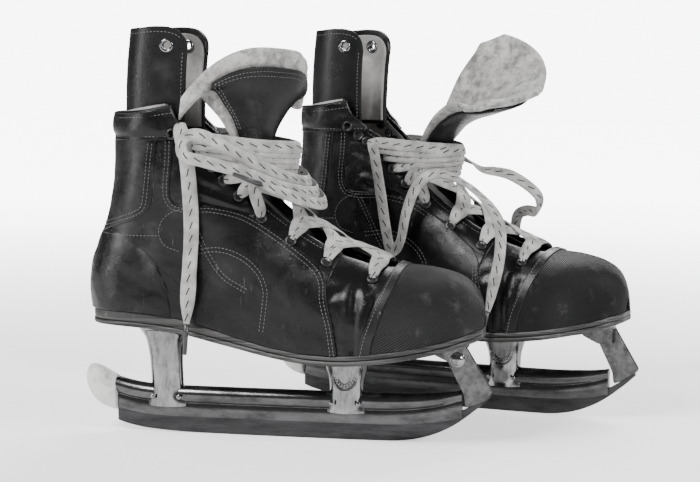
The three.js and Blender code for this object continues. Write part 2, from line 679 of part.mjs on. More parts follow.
// A place beside the throat: sideways is measured from the line of the eyelets towards the sole.
function besideThroat(t, side, sideways, height) {
  const [bx, bz, tx, tz] = sectionAt(t);
  const share = 1 - (throatDepth(t) + EYELET_FROM_EDGE + sideways) / Math.hypot(tx - bx, tz - bz);
  const facing = ridgeNormal(t).multiplyScalar(0.5).add(new THREE.Vector3(0, side * 0.8, 0)).normalize();
  return [...skin(t, share, side, -height), ...facing, LACE_GATHERED];
}

const eyeletAt = (row, side) => besideThroat(eyeletSection(row), side, 0, LACE_HEIGHT);

// One bar of the lacing: up from an eyelet, over the ridge or the tongue, and down to the other side.
function laceBar(row, from) {
  const t = eyeletSection(row);
  const above = t - TONGUE_LEAVES;
  const flank = (side) => {
    const facing = ridgeNormal(t).add(new THREE.Vector3(0, side * 0.6, 0)).normalize();
    if (above > 0) return [BUNCH_FLANK.x, side * BUNCH_FLANK.y, BUNCH_FLANK.z + LACE_BUNCHING * above, ...facing, BUNCH_GATHERED];
    const [bx, bz, tx, tz] = sectionAt(t);
    return [...skin(t, 1 - throatDepth(t) / Math.hypot(tx - bx, tz - bz), side, -3.8), ...facing];
  };
  const over = () => {
    if (above > 0) return [BUNCH_FRONT.x + 0.6 * above, 0, BUNCH_FRONT.z + LACE_BUNCHING * above, 1, 0, 0.25, BUNCH_GATHERED];
    const place = skin(t, 1, 1);
    place.y = centreline(place.x);
    return [...place.addScaledVector(ridgeNormal(t), 2.8), ...ridgeNormal(t)];
  };
  return [eyeletAt(row, from), flank(from), over(), flank(-from), eyeletAt(row, -from)];
}

// Each end of the lace has every other row. Between its rows it runs up beside the eyelets, past
// the other end's row, and the two ends cross there.
function laceEnd(firstRow, rows) {
  const stations = [];
  let side = -1;
  for (let row = firstRow; row < rows; row += 2) {
    stations.push(...laceBar(row, side));
    side = -side;
    if (row + 2 < rows) {
      const t = [0.5, 1, 1.5].map((rowsUp) => eyeletSection(row + rowsUp));
      stations.push(besideThroat(t[0], side, LACE_PASSES / 2, LACE_HEIGHT));
      stations.push(besideThroat(t[1], side, LACE_PASSES, LACE_HEIGHT));
      stations.push(besideThroat(t[2], side, LACE_PASSES / 2, 2 * LACE_HEIGHT));
    } else if (row + 1 < rows) stations.push(eyeletAt(row + 1, side));
  }
  return stations;
}

const lacing = (rows) => ribbon([...laceEnd(1, rows).reverse(), ...laceEnd(0, rows)], LACED_WIDTH, 1);

const RIGHT_HANGING_END = [
  [86, -39, 231, 0, -0.3, 1], [87.5, -43.5, 231.5, 0, -0.6, 0.8], [89, -46.5, 226, 0.1, -1, 0.2],
  [93, -46.5, 205, 0, -1, 0], [95, -45, 180, 0.3, -1, 0], [95, -43, 155, 0.1, -1, 0],
  [93.5, -43, 130, 0, -1, 0], [92, -44, 105, 0, -1, 0], [91, -44, 88, 0, -1, 0],
];
const RIGHT_WOUND_END = [
  [84, 44, 227, 0.2, 1, 0.2], [104, 48, 216, 0.2, 1, 0.2], [130, 47, 204, 0.4, 1, 0.2],
  [156, 35, 195, 0.8, 0.7, 0.2],
  [170, 12, 190, 1, 0.2, 0.3], [170, -12, 190, 1, -0.2, 0.3], [156, -34, 197, 0.8, -0.7, 0.2],
  [132, -46, 209, 0.4, -1, 0.2], [112, -51, 220, 0.2, -1, 0.2], [104, -54, 221, -1, -0.6, 0.2],
  [112, -56, 212, 0.2, -1, 0.2], [134, -53, 201, 0.4, -1, 0.2], [160, -40, 188, 0.8, -0.7, 0.2],
  [175, -14, 182, 1, -0.3, 0.2], [176, 12, 182, 1, 0.2, 0.2], [162, 38, 188, 0.8, 0.7, 0.2],
  [140, 52, 198, 0.4, 1, 0.2], [131, 56, 199, -1, 0.4, 0.2], [140, 59, 190, 0.4, 1, 0.2],
  [165, 44, 180, 0.8, 0.7, 0.2], [181, 15, 174, 1, 0.2, 0.2], [181, -12, 174, 1, -0.2, 0.2],
  [166, -40, 182, 0.8, -0.7, 0.2], [149, -52, 190, 0.5, -1, 0.2],
];
const LEFT_INNER_END = [
  [100, 42, 213, 0.3, 1, 0.1], [105, 46, 210, 0.1, 1, 0.5], [109, 48, 196, 0, 1, 0], [113, 47, 170, 0.1, 1, 0],
  [117, 46, 143, 0, 1, 0], [122, 47.5, 128, 0, 1, 0], [130, 50, 135, -0.3, 1, 0], [135, 48, 160, -0.1, 1, 0],
  [144, 44, 182, 0.2, 1, 0.3], [158, 36, 189, 0.6, 0.6, 0.6], [177, 26, 180, 0.6, 0.3, 0.8],
  [196, 28, 165, 0.5, 0.5, 0.8], [209, 40, 150, 0.3, 1, 0.5], [213, 52, 127, 0.1, 1, 0.1],
  [209, 55, 104, 0, 1, 0], [205, 55, 86, 0, 1, 0],
];
const LEFT_OUTER_END = [
  [100, -42, 213, 0.3, -1, 0.2], [114, -43, 208, 0.5, -0.8, 0.6], [132, -40, 203, 0.6, -0.8, 0.5],
  [151, -30, 198, 0.7, -0.5, 0.6], [169, -12, 194, 0.7, 0, 0.7], [184, 4, 191, 0.4, 0.3, 0.9],
  [206, 6, 187, 0.2, 0, 1], [225, -2, 172, 0.8, -0.3, 0.5], [222, -14, 158, 0.6, -0.6, -0.4],
  [208, -26, 157, 0, -1, 0.2], [196, -40, 152, 0, -1, 0.4], [189, -53, 138, 0, -1, 0.1],
  [187, -55, 114, 0, -1, 0], [186, -55, 92, 0, -1, 0],
];

// The stiff tag on a lace's end: it continues the lace's last direction.
function aglet(stations) {
  const tip = new THREE.Vector3(...stations.at(-1).slice(0, 3));
  const before = new THREE.Vector3(...stations.at(-2).slice(0, 3));
  const heading = tip.clone().sub(before).normalize();
  const tag = new THREE.CylinderGeometry(1.5, 2, AGLET_LENGTH, 8);
  tag.applyQuaternion(new THREE.Quaternion().setFromUnitVectors(new THREE.Vector3(0, 1, 0), heading));
  const middle = tip.addScaledVector(heading, AGLET_LENGTH / 2 + GAP);
  return tag.translate(middle.x, middle.y, middle.z);
}

// ---------------------------------------------------------------- materials and assembly
function finish(color, roughness, metalness = 0) {
  return new THREE.MeshStandardMaterial({ color, roughness, metalness });
}
const blackLeather = finish(0x17171a, 0.42);
const toeNylon = finish(0x1c1c20, 0.62);
const soleLeather = finish(0x2e2c2d, 0.6);
const liningLeather = finish(0x8d8b88, 0.6);
const felt = finish(0xc9c6c2, 0.95);
const steel = finish(0xa9abae, 0.32, 1);
const darkSteel = finish(0x6b6d70, 0.4, 1);
const tipPlastic = finish(0xd9d9d6, 0.45);
const cotton = finish(0xcfccc6, 0.9);

function skateMeshes(options) {
  const pieces = [
    ["runner_tube", runnerTube(), darkSteel],
    ["blade", bladeSolid(), steel],
    ["safety_tip", safetyTip(), tipPlastic],
    ["heel_post", post(HEEL_POST_X, 3, [12.5, 9], [15.5, 9.4], [25, 20]), steel],
    ["ball_post", post(BALL_POST_X, 0, [13, 10], [15, 9.4], [20, 24]), steel],
    ["toe_strut", toeStrut(), steel],
    ["toe_lug", toeLug(), steel],
    ["strut_rivet", strutRivet(), steel],
    ["outsole", solePlate(SOLE_MARGIN, outsoleTop, outsoleBottom), soleLeather],
    ["midsole", solePlate(SOLE_MARGIN - 0.6, midsoleTop, midsoleBottom), soleLeather],
    ["insole", insolePlate(), liningLeather],
    ["toe_cap", panel("toe_cap"), toeNylon],
    ["vamp", panel("vamp"), blackLeather],
    ["facing_outer", panel("facing_outer"), blackLeather],
    ["facing_inner", panel("facing_inner"), blackLeather],
    ["quarter_outer", panel("quarter_outer"), blackLeather],
    ["quarter_inner", panel("quarter_inner"), blackLeather],
    ["heel_counter", panel("heel_counter"), blackLeather],
    ["backstay", panel("backstay"), blackLeather],
    ["collar", panel("collar"), blackLeather],
    ["tendon_guard", guardShell(0, GUARD_THICKNESS, GUARD_FOOT, GUARD_TOP), blackLeather],
    ["guard_lining", guardShell(LINING_FROM, LINING_FROM + GUARD_LINING, GUARD_FOOT + 3, GUARD_TOP - 5), liningLeather],
    ["tongue_base", tongueUnderLaces(), blackLeather],
    ["tongue_leather", tongueSheet(options.tongue, 0, TONGUE_LEATHER, 0), blackLeather],
    ["tongue_felt", tongueSheet(options.tongue, TONGUE_LEATHER + GAP, TONGUE_FELT, FELT_STANDS_OUT), felt],
    ["lacing", lacing(options.lacedRows), cotton],
    ["lace_end_outer", ribbon(options.outerEnd), cotton],
    ["lace_end_inner", ribbon(options.innerEnd), cotton],
    ["aglet_outer", aglet(options.outerEnd), tipPlastic],
    ["aglet_inner", aglet(options.innerEnd), tipPlastic],
  ];
  return pieces.map(([name, geometry, material]) => {
    const mesh = new THREE.Mesh(geometry, material);
    mesh.name = `${options.foot}_${name}`;
    return mesh;
  });
}

function mirrored(geometry) {
  const copy = geometry.index ? geometry.clone() : mergeVertices(geometry);
  return flipped(copy.scale(1, -1, 1));
}

const BLADE_MIDDLE = (BLADE_FLAT[0] + BLADE_FLAT[1]) / 2; // the skate's X of the part's origin

const right = new THREE.Group();
right.add(...skateMeshes({
  foot: "right", tongue: UPRIGHT_TONGUE, lacedRows: EYELET_ROWS,
  outerEnd: RIGHT_HANGING_END, innerEnd: RIGHT_WOUND_END,
}));
right.position.set(-BLADE_MIDDLE, 0, 0);

const left = new THREE.Group();
const leftMeshes = skateMeshes({
  foot: "left", tongue: FLOPPED_TONGUE, lacedRows: EYELET_ROWS - 2,
  outerEnd: LEFT_OUTER_END, innerEnd: LEFT_INNER_END,
});
for (const mesh of leftMeshes) {
  mesh.geometry = mirrored(mesh.geometry).translate(-BLADE_MIDDLE, 0, 0);
  left.add(mesh);
}
left.rotation.z = LEFT_YAW;
left.position.set(LEFT_SHIFT_X, LEFT_SHIFT_Y, 0);

const pair = new THREE.Group();
pair.add(right, left);
export default pair;
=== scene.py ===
# The looks of a worn pair of leather ice hockey skates on tubular steel runners.
# Each piece is shaped in its skate's own frame, in millimetres: X from the runner's tail to the
# toe, Y towards the inner side of a right skate, Z up from the ice. to_row() puts it in the row.
import math

import bmesh
import bpy
import numpy as np
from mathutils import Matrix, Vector, noise


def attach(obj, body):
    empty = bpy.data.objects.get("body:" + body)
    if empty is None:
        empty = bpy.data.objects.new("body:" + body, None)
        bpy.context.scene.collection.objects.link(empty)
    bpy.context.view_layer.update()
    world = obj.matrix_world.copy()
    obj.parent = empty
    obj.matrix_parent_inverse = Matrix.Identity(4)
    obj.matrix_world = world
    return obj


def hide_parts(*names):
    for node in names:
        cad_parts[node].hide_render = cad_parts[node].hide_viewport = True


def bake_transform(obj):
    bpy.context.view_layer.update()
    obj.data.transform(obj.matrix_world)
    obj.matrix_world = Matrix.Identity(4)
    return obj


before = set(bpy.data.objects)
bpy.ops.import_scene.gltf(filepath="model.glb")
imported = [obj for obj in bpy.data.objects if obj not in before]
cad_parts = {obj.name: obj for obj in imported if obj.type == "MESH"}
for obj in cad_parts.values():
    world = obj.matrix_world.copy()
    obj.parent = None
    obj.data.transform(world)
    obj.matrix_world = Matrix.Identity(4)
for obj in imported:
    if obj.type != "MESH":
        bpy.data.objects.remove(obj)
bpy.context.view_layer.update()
FEET = ("right", "left")

# ------------------------------------------------------------------------------ the studio
# A white sweep under four soft lights, and a long lens a little to the right of the toes.
CAMERA_TARGET = Vector((0.0446, 0.0, 0.1459))
CAMERA_DISTANCE = 1.305
CAMERA_AZIMUTH = math.radians(11.5)
CAMERA_ELEVATION = math.radians(5.96)

camera_data = bpy.data.cameras.new("camera")
camera_data.sensor_width = 36.0
camera_data.lens = 92.4
camera_data.clip_end = 50.0
camera = bpy.data.objects.new("camera", camera_data)
bpy.context.scene.collection.objects.link(camera)
towards_camera = Vector((
    math.sin(CAMERA_AZIMUTH) * math.cos(CAMERA_ELEVATION),
    -math.cos(CAMERA_AZIMUTH) * math.cos(CAMERA_ELEVATION),
    math.sin(CAMERA_ELEVATION),
))
camera.location = CAMERA_TARGET + towards_camera * CAMERA_DISTANCE
camera.rotation_euler = towards_camera.to_track_quat("Z", "Y").to_euler()
bpy.context.scene.camera = camera


def soft_light(name, place, size, power):
    """A square area light that looks at the skates."""
    data = bpy.data.lights.new(name, "AREA")
    data.size = size
    data.energy = power
    light = bpy.data.objects.new(name, data)
    light.location = place
    light.rotation_euler = (Vector(place) - CAMERA_TARGET).to_track_quat("Z", "Y").to_euler()
    bpy.context.scene.collection.objects.link(light)


soft_light("key_light", (-0.8, -1.1, 1.6), 0.7, 46)
soft_light("side_light", (1.7, -0.6, 1.0), 0.5, 26)
soft_light("rim_light", (0.4, 1.5, 1.5), 1.2, 40)
soft_light("low_light", (-1.6, -1.0, 0.35), 0.5, 9)

world = bpy.data.worlds.new("sweep")
world.use_nodes = True
backdrop = world.node_tree.nodes["Background"]
backdrop.inputs["Color"].default_value = (1, 1, 1, 1)
seen = world.node_tree.nodes.new("ShaderNodeLightPath")
glow = world.node_tree.nodes.new("ShaderNodeMapRange")
glow.inputs["To Min"].default_value = 0.16
glow.inputs["To Max"].default_value = 8.0
world.node_tree.links.new(seen.outputs["Is Camera Ray"], glow.inputs["Value"])
world.node_tree.links.new(glow.outputs["Result"], backdrop.inputs["Strength"])
bpy.context.scene.world = world

floor_mesh = bpy.data.meshes.new("floor")
FLOOR_Z = -0.0004
floor_corners = [(-6, -6, FLOOR_Z), (6, -6, FLOOR_Z), (6, 6, FLOOR_Z), (-6, 6, FLOOR_Z)]
floor_mesh.from_pydata(floor_corners, [], [(0, 1, 2, 3)])
floor = bpy.data.objects.new("floor", floor_mesh)
bpy.context.scene.collection.objects.link(floor)
floor_paint = bpy.data.materials.new("floor_paint")
floor_paint.use_nodes = True
paint_tree = floor_paint.node_tree
paint = paint_tree.nodes["Principled BSDF"]
for socket, value in (("Base Color", (0.93, 0.93, 0.93, 1)), ("Roughness", 0.9),
                      ("Specular IOR Level", 0.1), ("Emission Color", (1, 1, 1, 1))):
    paint.inputs[socket].default_value = value
floor_spot = paint_tree.nodes.new("ShaderNodeTexCoord")
floor_reach = paint_tree.nodes.new("ShaderNodeVectorMath")
floor_reach.operation = "LENGTH"
floor_glow = paint_tree.nodes.new("ShaderNodeMapRange")
floor_glow.interpolation_type = "SMOOTHSTEP"
for socket, value in (("From Min", 0.3), ("From Max", 2.6), ("To Min", 0.95), ("To Max", 8.0)):
    floor_glow.inputs[socket].default_value = value
floor_seen = paint_tree.nodes.new("ShaderNodeLightPath")
floor_white = paint_tree.nodes.new("ShaderNodeMapRange")
floor_white.inputs["To Min"].default_value = 0.08
for source, target in (
    (floor_spot.outputs["Object"], floor_reach.inputs[0]),
    (floor_reach.outputs["Value"], floor_glow.inputs["Value"]),
    (floor_seen.outputs["Is Camera Ray"], floor_white.inputs["Value"]),
    (floor_glow.outputs["Result"], floor_white.inputs["To Max"]),
    (floor_white.outputs["Result"], paint.inputs["Emission Strength"]),
):
    paint_tree.links.new(source, target)
floor_mesh.materials.append(floor_paint)

# ------------------------------------------------------------------------------ blade
# Hardened steel, ground bright on its sides, with a hollow-ground edge. It is pinched in the
# runner's flanges, curls up at both ends and is nicked and dull from use.
BLADE_FLAT = (85, 230)
BLADE_MIDDLE = sum(BLADE_FLAT) / 2
LEFT_SHIFT = (102.0, 140.0)
LEFT_YAW = math.radians(-13)
BLADE_HALF = 1.7


def through(rows):
    """A smooth function through (input, output) rows, with flat ends."""
    xs, ys = np.array(rows, float).T
    last = len(xs) - 1
    slope = [(ys[min(last, i + 1)] - ys[max(0, i - 1)]) / (xs[min(last, i + 1)] - xs[max(0, i - 1)])
             for i in range(last + 1)]
    slope = np.array(slope)

    def value(x):
        x = np.clip(np.asarray(x, float), xs[0], xs[-1])
        i = np.clip(np.searchsorted(xs, x, side="right") - 1, 0, last - 1)
        h = xs[i + 1] - xs[i]
        s = (x - xs[i]) / h
        return ((2 * s**3 - 3 * s**2 + 1) * ys[i] + (s**3 - 2 * s**2 + s) * h * slope[i]
                + (3 * s**2 - 2 * s**3) * ys[i + 1] + (s**3 - s**2) * h * slope[i + 1])
    return value


def smooth(x, low, high):
    s = np.clip((np.asarray(x, float) - low) / (high - low), 0, 1)
    return s * s * (3 - 2 * s)


def to_row(points, foot):
    """Skate millimetres to the row's metres. The left skate is the right one's mirror image."""
    x, y, z = np.array(points, float).reshape(-1, 3).T
    x = x - BLADE_MIDDLE
    if foot == "left":
        y = -y
        turn_x, turn_y = math.cos(LEFT_YAW), math.sin(LEFT_YAW)
        x, y = LEFT_SHIFT[0] + x * turn_x - y * turn_y, LEFT_SHIFT[1] + x * turn_y + y * turn_x
    return np.column_stack([x, y, z]) / 1000


def piece(name, foot, points, faces, material, body="skate", nodes=(), uv=None, slot=None):
    """One closed body as an object that rides on its skate and stands for its CAD nodes."""
    mesh = bpy.data.meshes.new(name)
    mesh.from_pydata(to_row(points, foot).tolist(), [], [list(map(int, f)) for f in faces])
    if uv is not None:
        layer = mesh.uv_layers.new(name="along")
        corners = np.array([v for f in mesh.polygons for v in f.vertices])
        layer.data.foreach_set("uv", np.asarray(uv, float)[corners].ravel())
    shape = bmesh.new()
    shape.from_mesh(mesh)
    bmesh.ops.recalc_face_normals(shape, faces=shape.faces)
    shape.to_mesh(mesh)
    shape.free()
    mesh.polygons.foreach_set("use_smooth", [True] * len(mesh.polygons))
    mesh.materials.append(material)
    thing = bpy.data.objects.new(f"{foot}_{name}", mesh)
    bpy.context.scene.collection.objects.link(thing)
    if body:
        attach(thing, f"{foot}_{body}")
    if nodes:
        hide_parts(*[f"{foot}_{n}" for n in nodes])
    return thing


def loft(rings):
    """Points and faces of a closed body through rings with the same number of points."""
    rings = [np.asarray(r, float) for r in rings]
    n = len(rings[0])
    points = np.vstack(rings + [rings[0].mean(0), rings[-1].mean(0)])
    faces = [(i * n + j, i * n + (j + 1) % n, (i + 1) * n + (j + 1) % n, (i + 1) * n + j)
             for i in range(len(rings) - 1) for j in range(n)]
    top = (len(rings) - 1) * n
    faces += [(len(points) - 2, (j + 1) % n, j) for j in range(n)]
    faces += [(len(points) - 1, top + j, top + (j + 1) % n) for j in range(n)]
    return points, faces


def sharp_below(thing, degrees):
    """Marks the edges that turn by more than this as sharp, so that machined faces stay crisp."""
    shape = bmesh.new()
    shape.from_mesh(thing.data)
    for edge in shape.edges:
        edge.smooth = edge.calc_face_angle(0) < math.radians(degrees)
    shape.to_mesh(thing.data)
    shape.free()


def node(tree, kind, inputs=(), **settings):
    """A shader node with its settings and its unlinked inputs; a link is given as a socket."""
    made = tree.nodes.new(kind)
    for key, value in settings.items():
        setattr(made, key, value)
    for key, value in dict(inputs).items():
        if isinstance(value, bpy.types.NodeSocket):
            tree.links.new(value, made.inputs[key])
        else:
            made.inputs[key].default_value = value
    return made


def calc(tree, operation, first, second=0.0):
    return node(tree, "ShaderNodeMath", {0: first, 1: second}, operation=operation).outputs[0]


def finish(name, colour, roughness, metallic=0.0):
    """A new material with its tree, its main shader and the coordinates of the object."""
    material = bpy.data.materials.new(name)
    material.use_nodes = True
    tree = material.node_tree
    shader = tree.nodes["Principled BSDF"]
    shader.inputs["Base Color"].default_value = (*colour, 1)
    shader.inputs["Roughness"].default_value = roughness
    shader.inputs["Metallic"].default_value = metallic
    place = tree.nodes.new("ShaderNodeTexCoord").outputs["Object"]
    return material, tree, shader, place


def stretched(tree, place, scale):
    return node(tree, "ShaderNodeMapping", {"Vector": place, "Scale": scale}).outputs["Vector"]


def cloud(tree, place, scale, detail=4.0, roughness=0.55):
    return node(tree, "ShaderNodeTexNoise", {
        "Vector": place, "Scale": scale, "Detail": detail, "Roughness": roughness}).outputs["Fac"]


def band(tree, value, low, high, out_low=0.0, out_high=1.0):
    return node(tree, "ShaderNodeMapRange", {
        "Value": value, "From Min": low, "From Max": high, "To Min": out_low, "To Max": out_high,
    }).outputs["Result"]


def mixed(tree, amount, first, second):
    made = node(tree, "ShaderNodeMix", {"Factor": amount}, data_type="RGBA")
    colours = [s for s in made.inputs if s.type == "RGBA"]
    for socket, value in zip(colours, (first, second)):
        if isinstance(value, bpy.types.NodeSocket):
            tree.links.new(value, socket)
        else:
            socket.default_value = (*value, 1)
    return [s for s in made.outputs if s.type == "RGBA"][0]


def bumped(tree, shader, height, strength, distance, under=None):
    inputs = {"Height": height, "Strength": strength, "Distance": distance}
    if under is not None:
        inputs["Normal"] = under
    made = node(tree, "ShaderNodeBump", inputs)
    tree.links.new(made.outputs["Normal"], shader.inputs["Normal"])
    return made.outputs["Normal"]


def worn_metal(name, dark, light, roughness, drag=(6, 60, 60), scratch=0.25, scale=14):
    """Plated or ground steel: cloudy tarnish, and fine scratches drawn along the metal."""
    material, tree, shader, place = finish(name, light, roughness, 1.0)
    tarnish = cloud(tree, stretched(tree, place, [1 + 0.04 * k for k in drag]), scale, 8.0, 0.72)
    lines = cloud(tree, stretched(tree, place, drag), 40.0, 3.0, 0.7)
    colour = mixed(tree, band(tree, tarnish, 0.42, 0.75), light, dark)
    tree.links.new(colour, shader.inputs["Base Color"])
    rough = band(tree, tarnish, 0.35, 0.75, roughness * 0.8, roughness * 1.5)
    tree.links.new(rough, shader.inputs["Roughness"])
    bumped(tree, shader, lines, scratch, 0.0002)
    return material


blade_steel = worn_metal("blade_steel", (0.02, 0.02, 0.021), (0.085, 0.085, 0.088), 0.32, (8, 60, 200))
runner_rise = through([(2, 15), (14, 9.5), (28, 4.6), (46, 1.2), (70, 0), (215, 0), (245, 0.8),
                       (268, 3.4), (286, 7.5)])
blade_bottom = through([(16, 11), (24, 7.4), (34, 4.4), (50, 1.8), (BLADE_FLAT[0], 0),
                        (BLADE_FLAT[1], 0), (255, 3), (277, 12), (296, 26), (306, 35)])
BLADE_TOP = 17

stations = np.concatenate([np.linspace(24.4, 80, 24), np.linspace(90, 225, 10), np.linspace(230, 306, 44)])
blade_rings = []
for x in stations:
    low = float(blade_bottom(x))
    high = max(low + 1.2, BLADE_TOP + float(runner_rise(x)) if x < 286 else 24.5 + (x - 286) * 0.62)
    edge = min(0.35, (high - low) / 4)
    blade_rings.append([
        (x, -BLADE_HALF + edge * 0.4, low), (x, 0, low + 0.12), (x, BLADE_HALF - edge * 0.4, low),
        (x, BLADE_HALF, low + edge), (x, BLADE_HALF, high - edge), (x, BLADE_HALF - edge, high),
        (x, -BLADE_HALF + edge, high), (x, -BLADE_HALF, high - edge), (x, -BLADE_HALF, low + edge),
    ])
for foot in FEET:
    blade = piece("blade_steel_bar", foot, *loft(blade_rings), blade_steel, nodes=["blade"],
                  slot="blade_steel")
    sharp_below(blade, 35)

# ------------------------------------------------------------------------------ runner tube
# One strip of plated steel, folded into a tube whose two lips pinch the blade. The lips are
# pressed tight under the tube, and the front end is drawn down flat into the strut.
runner_steel = worn_metal("runner_steel", (0.03, 0.03, 0.031), (0.17, 0.17, 0.174), 0.2, (3, 40, 60), 0.25,
                          30)
runner_taper = through([(24, 1), (225, 1), (260, 0.84), (282, 0.52)])
TUBE_RADIUS, TUBE_AXIS, FLANGE_FOOT, FLANGE_HALF = 6.6, 28.5, 12.0, 3.2


def keyhole(x):
    """The runner's section: a round tube, a pinched waist and two lips down the blade's sides."""
    rise, taper = float(runner_rise(x)), float(runner_taper(x))
    radius, lip = TUBE_RADIUS * taper, FLANGE_HALF * max(taper, 0.8)
    side = [(radius * math.sin(a), TUBE_AXIS + radius * math.cos(a)) for a in np.linspace(0, 2.35, 12)]
    waist = TUBE_AXIS - radius * 0.78
    side += [(lip * 0.86, waist - 0.7), (lip * 0.86, waist - 1.6), (lip, waist - 2.4)]
    side += [(lip, FLANGE_FOOT + 0.6), (lip - 0.5, FLANGE_FOOT)]
    ring = side + [(-y, z) for y, z in reversed(side[1:])]
    return [(x, y, z + rise) for y, z in ring]


tube_stations = np.concatenate([np.linspace(24, 70, 16), np.linspace(78, 215, 12),
                                np.linspace(220, 285, 28)])
for foot in FEET:
    tube = piece("runner_shell", foot, *loft([keyhole(x) for x in tube_stations]), runner_steel,
                 nodes=["runner_tube"], slot="runner_steel")
    sharp_below(tube, 42)

# ------------------------------------------------------------------------------ safety tip
# A white plastic cap moulded over the runner's tail, rounded like a bean and scuffed.
tip_plastic, tree, shader, place = finish("tip_plastic", (0.78, 0.78, 0.76), 0.4)
dirt = cloud(tree, place, 90.0, 8.0, 0.7)
tree.links.new(mixed(tree, band(tree, dirt, 0.5, 0.75), (0.8, 0.8, 0.78), (0.3, 0.3, 0.29)),
               shader.inputs["Base Color"])
bumped(tree, shader, cloud(tree, place, 300.0), 0.15, 0.0004)

tip_rings = []
for x, fat, lift in ((24.6, 1.0, 0), (24, 1.06, 0), (22, 1.1, 0.2), (18, 1.14, 0.4), (14, 1.17, 1.2),
                     (10, 1.15, 2.2),
                     (6.5, 1.06, 3.8), (3.6, 0.88, 5.4), (1.6, 0.66, 6.6), (0.4, 0.4, 7.4), (0, 0.15, 7.8)):
    low, high = FLANGE_FOOT + float(runner_rise(x)) - 2, TUBE_AXIS + float(runner_rise(x)) + TUBE_RADIUS
    turns = np.linspace(0, 2 * math.pi, 28, endpoint=False)
    tip_rings.append([(x, (TUBE_RADIUS + 0.6) * fat * math.cos(a),
                       (low + high) / 2 + lift * 0.2 + (high - low) / 2 * fat
                       * math.sin(a)) for a in turns])
for foot in FEET:
    piece("tail_cap", foot, *loft(tip_rings), tip_plastic, nodes=["safety_tip"], slot="tip_plastic")

# ------------------------------------------------------------------------------ posts
# Pressed and plated steel posts, hollow and waisted. Each saddles the tube at its foot and flares
# at its head to a plate, riveted up through the sole. A maker's seal is struck in the ball post.
chromed_steel = worn_metal("chromed_steel", (0.08, 0.08, 0.082), (0.36, 0.36, 0.365), 0.12, (60, 60, 4),
                           0.12, 60)
sole_line = through([(0, 95), (40, 94.5), (80, 90.5), (115, 81), (145, 73.5), (175, 69.5), (205, 69),
                     (240, 72.5), (275, 79), (302, 86)])
GAP, MIDSOLE, HEEL_WEDGE, OUTSOLE = 0.3, 3.6, 3.4, 3.2


def midsole_top(x):
    return sole_line(x) - GAP


def midsole_bottom(x):
    return midsole_top(x) - MIDSOLE - HEEL_WEDGE * (1 - smooth(x, 70, 150))


def outsole_top(x):
    return midsole_bottom(x) - GAP


def outsole_bottom(x):
    return outsole_top(x) - OUTSOLE


POST_BASE = 20.0
POSTS = {
    "heel_post": (61, 3, (12.5, 9), (15.5, 9.4), (25, 20)),
    "ball_post": (200, 0, (13, 10), (15, 9.4), (20, 24)),
}


def post_rings(x, lean, waist, foot_size, plate):
    """Rings of a post from its foot on the tube to its plate under the sole."""
    top = float(outsole_bottom(x))
    tall = top - POST_BASE
    long_half = through([(0, foot_size[0]), (0.07, foot_size[0] * 0.97), (0.16, waist[0] * 1.02),
                         (0.3, waist[0] * 0.97), (0.62, waist[0] * 1.02), (0.82, waist[0] * 1.2),
                         (0.93, plate[0] * 0.84), (0.965, plate[0])])
    wide_half = through([(0, foot_size[1]), (0.1, foot_size[1] * 0.98), (0.3, waist[1]),
                         (0.62, waist[1] * 1.1),
                         (0.82, waist[1] * 1.5), (0.93, plate[1] * 0.78), (0.965, plate[1])])
    heights = np.concatenate([np.linspace(0, 0.94, 30), [0.955, 0.964, 0.966, 0.999, 1.0]])
    turns = np.linspace(0, 2 * math.pi, 56, endpoint=False)
    rings = []
    for h in heights:
        shrink = 0.99 if h in (heights[-1], heights[-4]) else 1.0
        across = float(long_half(h)) * shrink
        dx = across * np.cos(turns)
        slope = (outsole_bottom(x + dx) - top) * smooth(h, 0.6, 0.95)
        rings.append(np.column_stack([
            x + lean * (1 - h) + dx, float(wide_half(h)) * shrink * np.sin(turns),
            POST_BASE + tall * h + slope - 0.3 * smooth(h, 0.9, 1),
        ]))
    return rings


for foot in FEET:
    for name, sizes in POSTS.items():
        shape = piece(name + "_shell", foot, *loft(post_rings(*sizes)), chromed_steel,
                      nodes=[name], slot="chromed_steel")
        sharp_below(shape, 50)

# ------------------------------------------------------------------------------ seals and rivets
# A round seal is struck into each side of the ball post, and dome-headed rivets hold the posts'
# feet to the tube and their plates to the sole.
def geometry_tree(name, *sizes):
    """A new tree with a named input for each size and one for its finish."""
    tree = bpy.data.node_groups.new(name, "GeometryNodeTree")
    tree.interface.new_socket("Geometry", in_out="INPUT", socket_type="NodeSocketGeometry")
    for size_name in sizes:
        tree.interface.new_socket(size_name, in_out="INPUT", socket_type="NodeSocketFloat")
    tree.interface.new_socket("Finish", in_out="INPUT", socket_type="NodeSocketMaterial")
    tree.interface.new_socket("Geometry", in_out="OUTPUT", socket_type="NodeSocketGeometry")
    return tree, tree.nodes.new("NodeGroupInput"), tree.nodes.new("NodeGroupOutput")


def close_tree(tree, given, out, instances):
    """Ends a tree as every repeated piece needs it: real geometry with its material."""
    real = tree.nodes.new("GeometryNodeRealizeInstances")
    finish_node = tree.nodes.new("GeometryNodeSetMaterial")
    smooth_node = tree.nodes.new("GeometryNodeSetShadeSmooth")
    tree.links.new(instances, real.inputs["Geometry"])
    tree.links.new(real.outputs["Geometry"], smooth_node.inputs["Geometry"])
    tree.links.new(smooth_node.outputs["Geometry"], finish_node.inputs["Geometry"])
    tree.links.new(given.outputs["Finish"], finish_node.inputs["Material"])
    tree.links.new(finish_node.outputs["Geometry"], out.inputs["Geometry"])


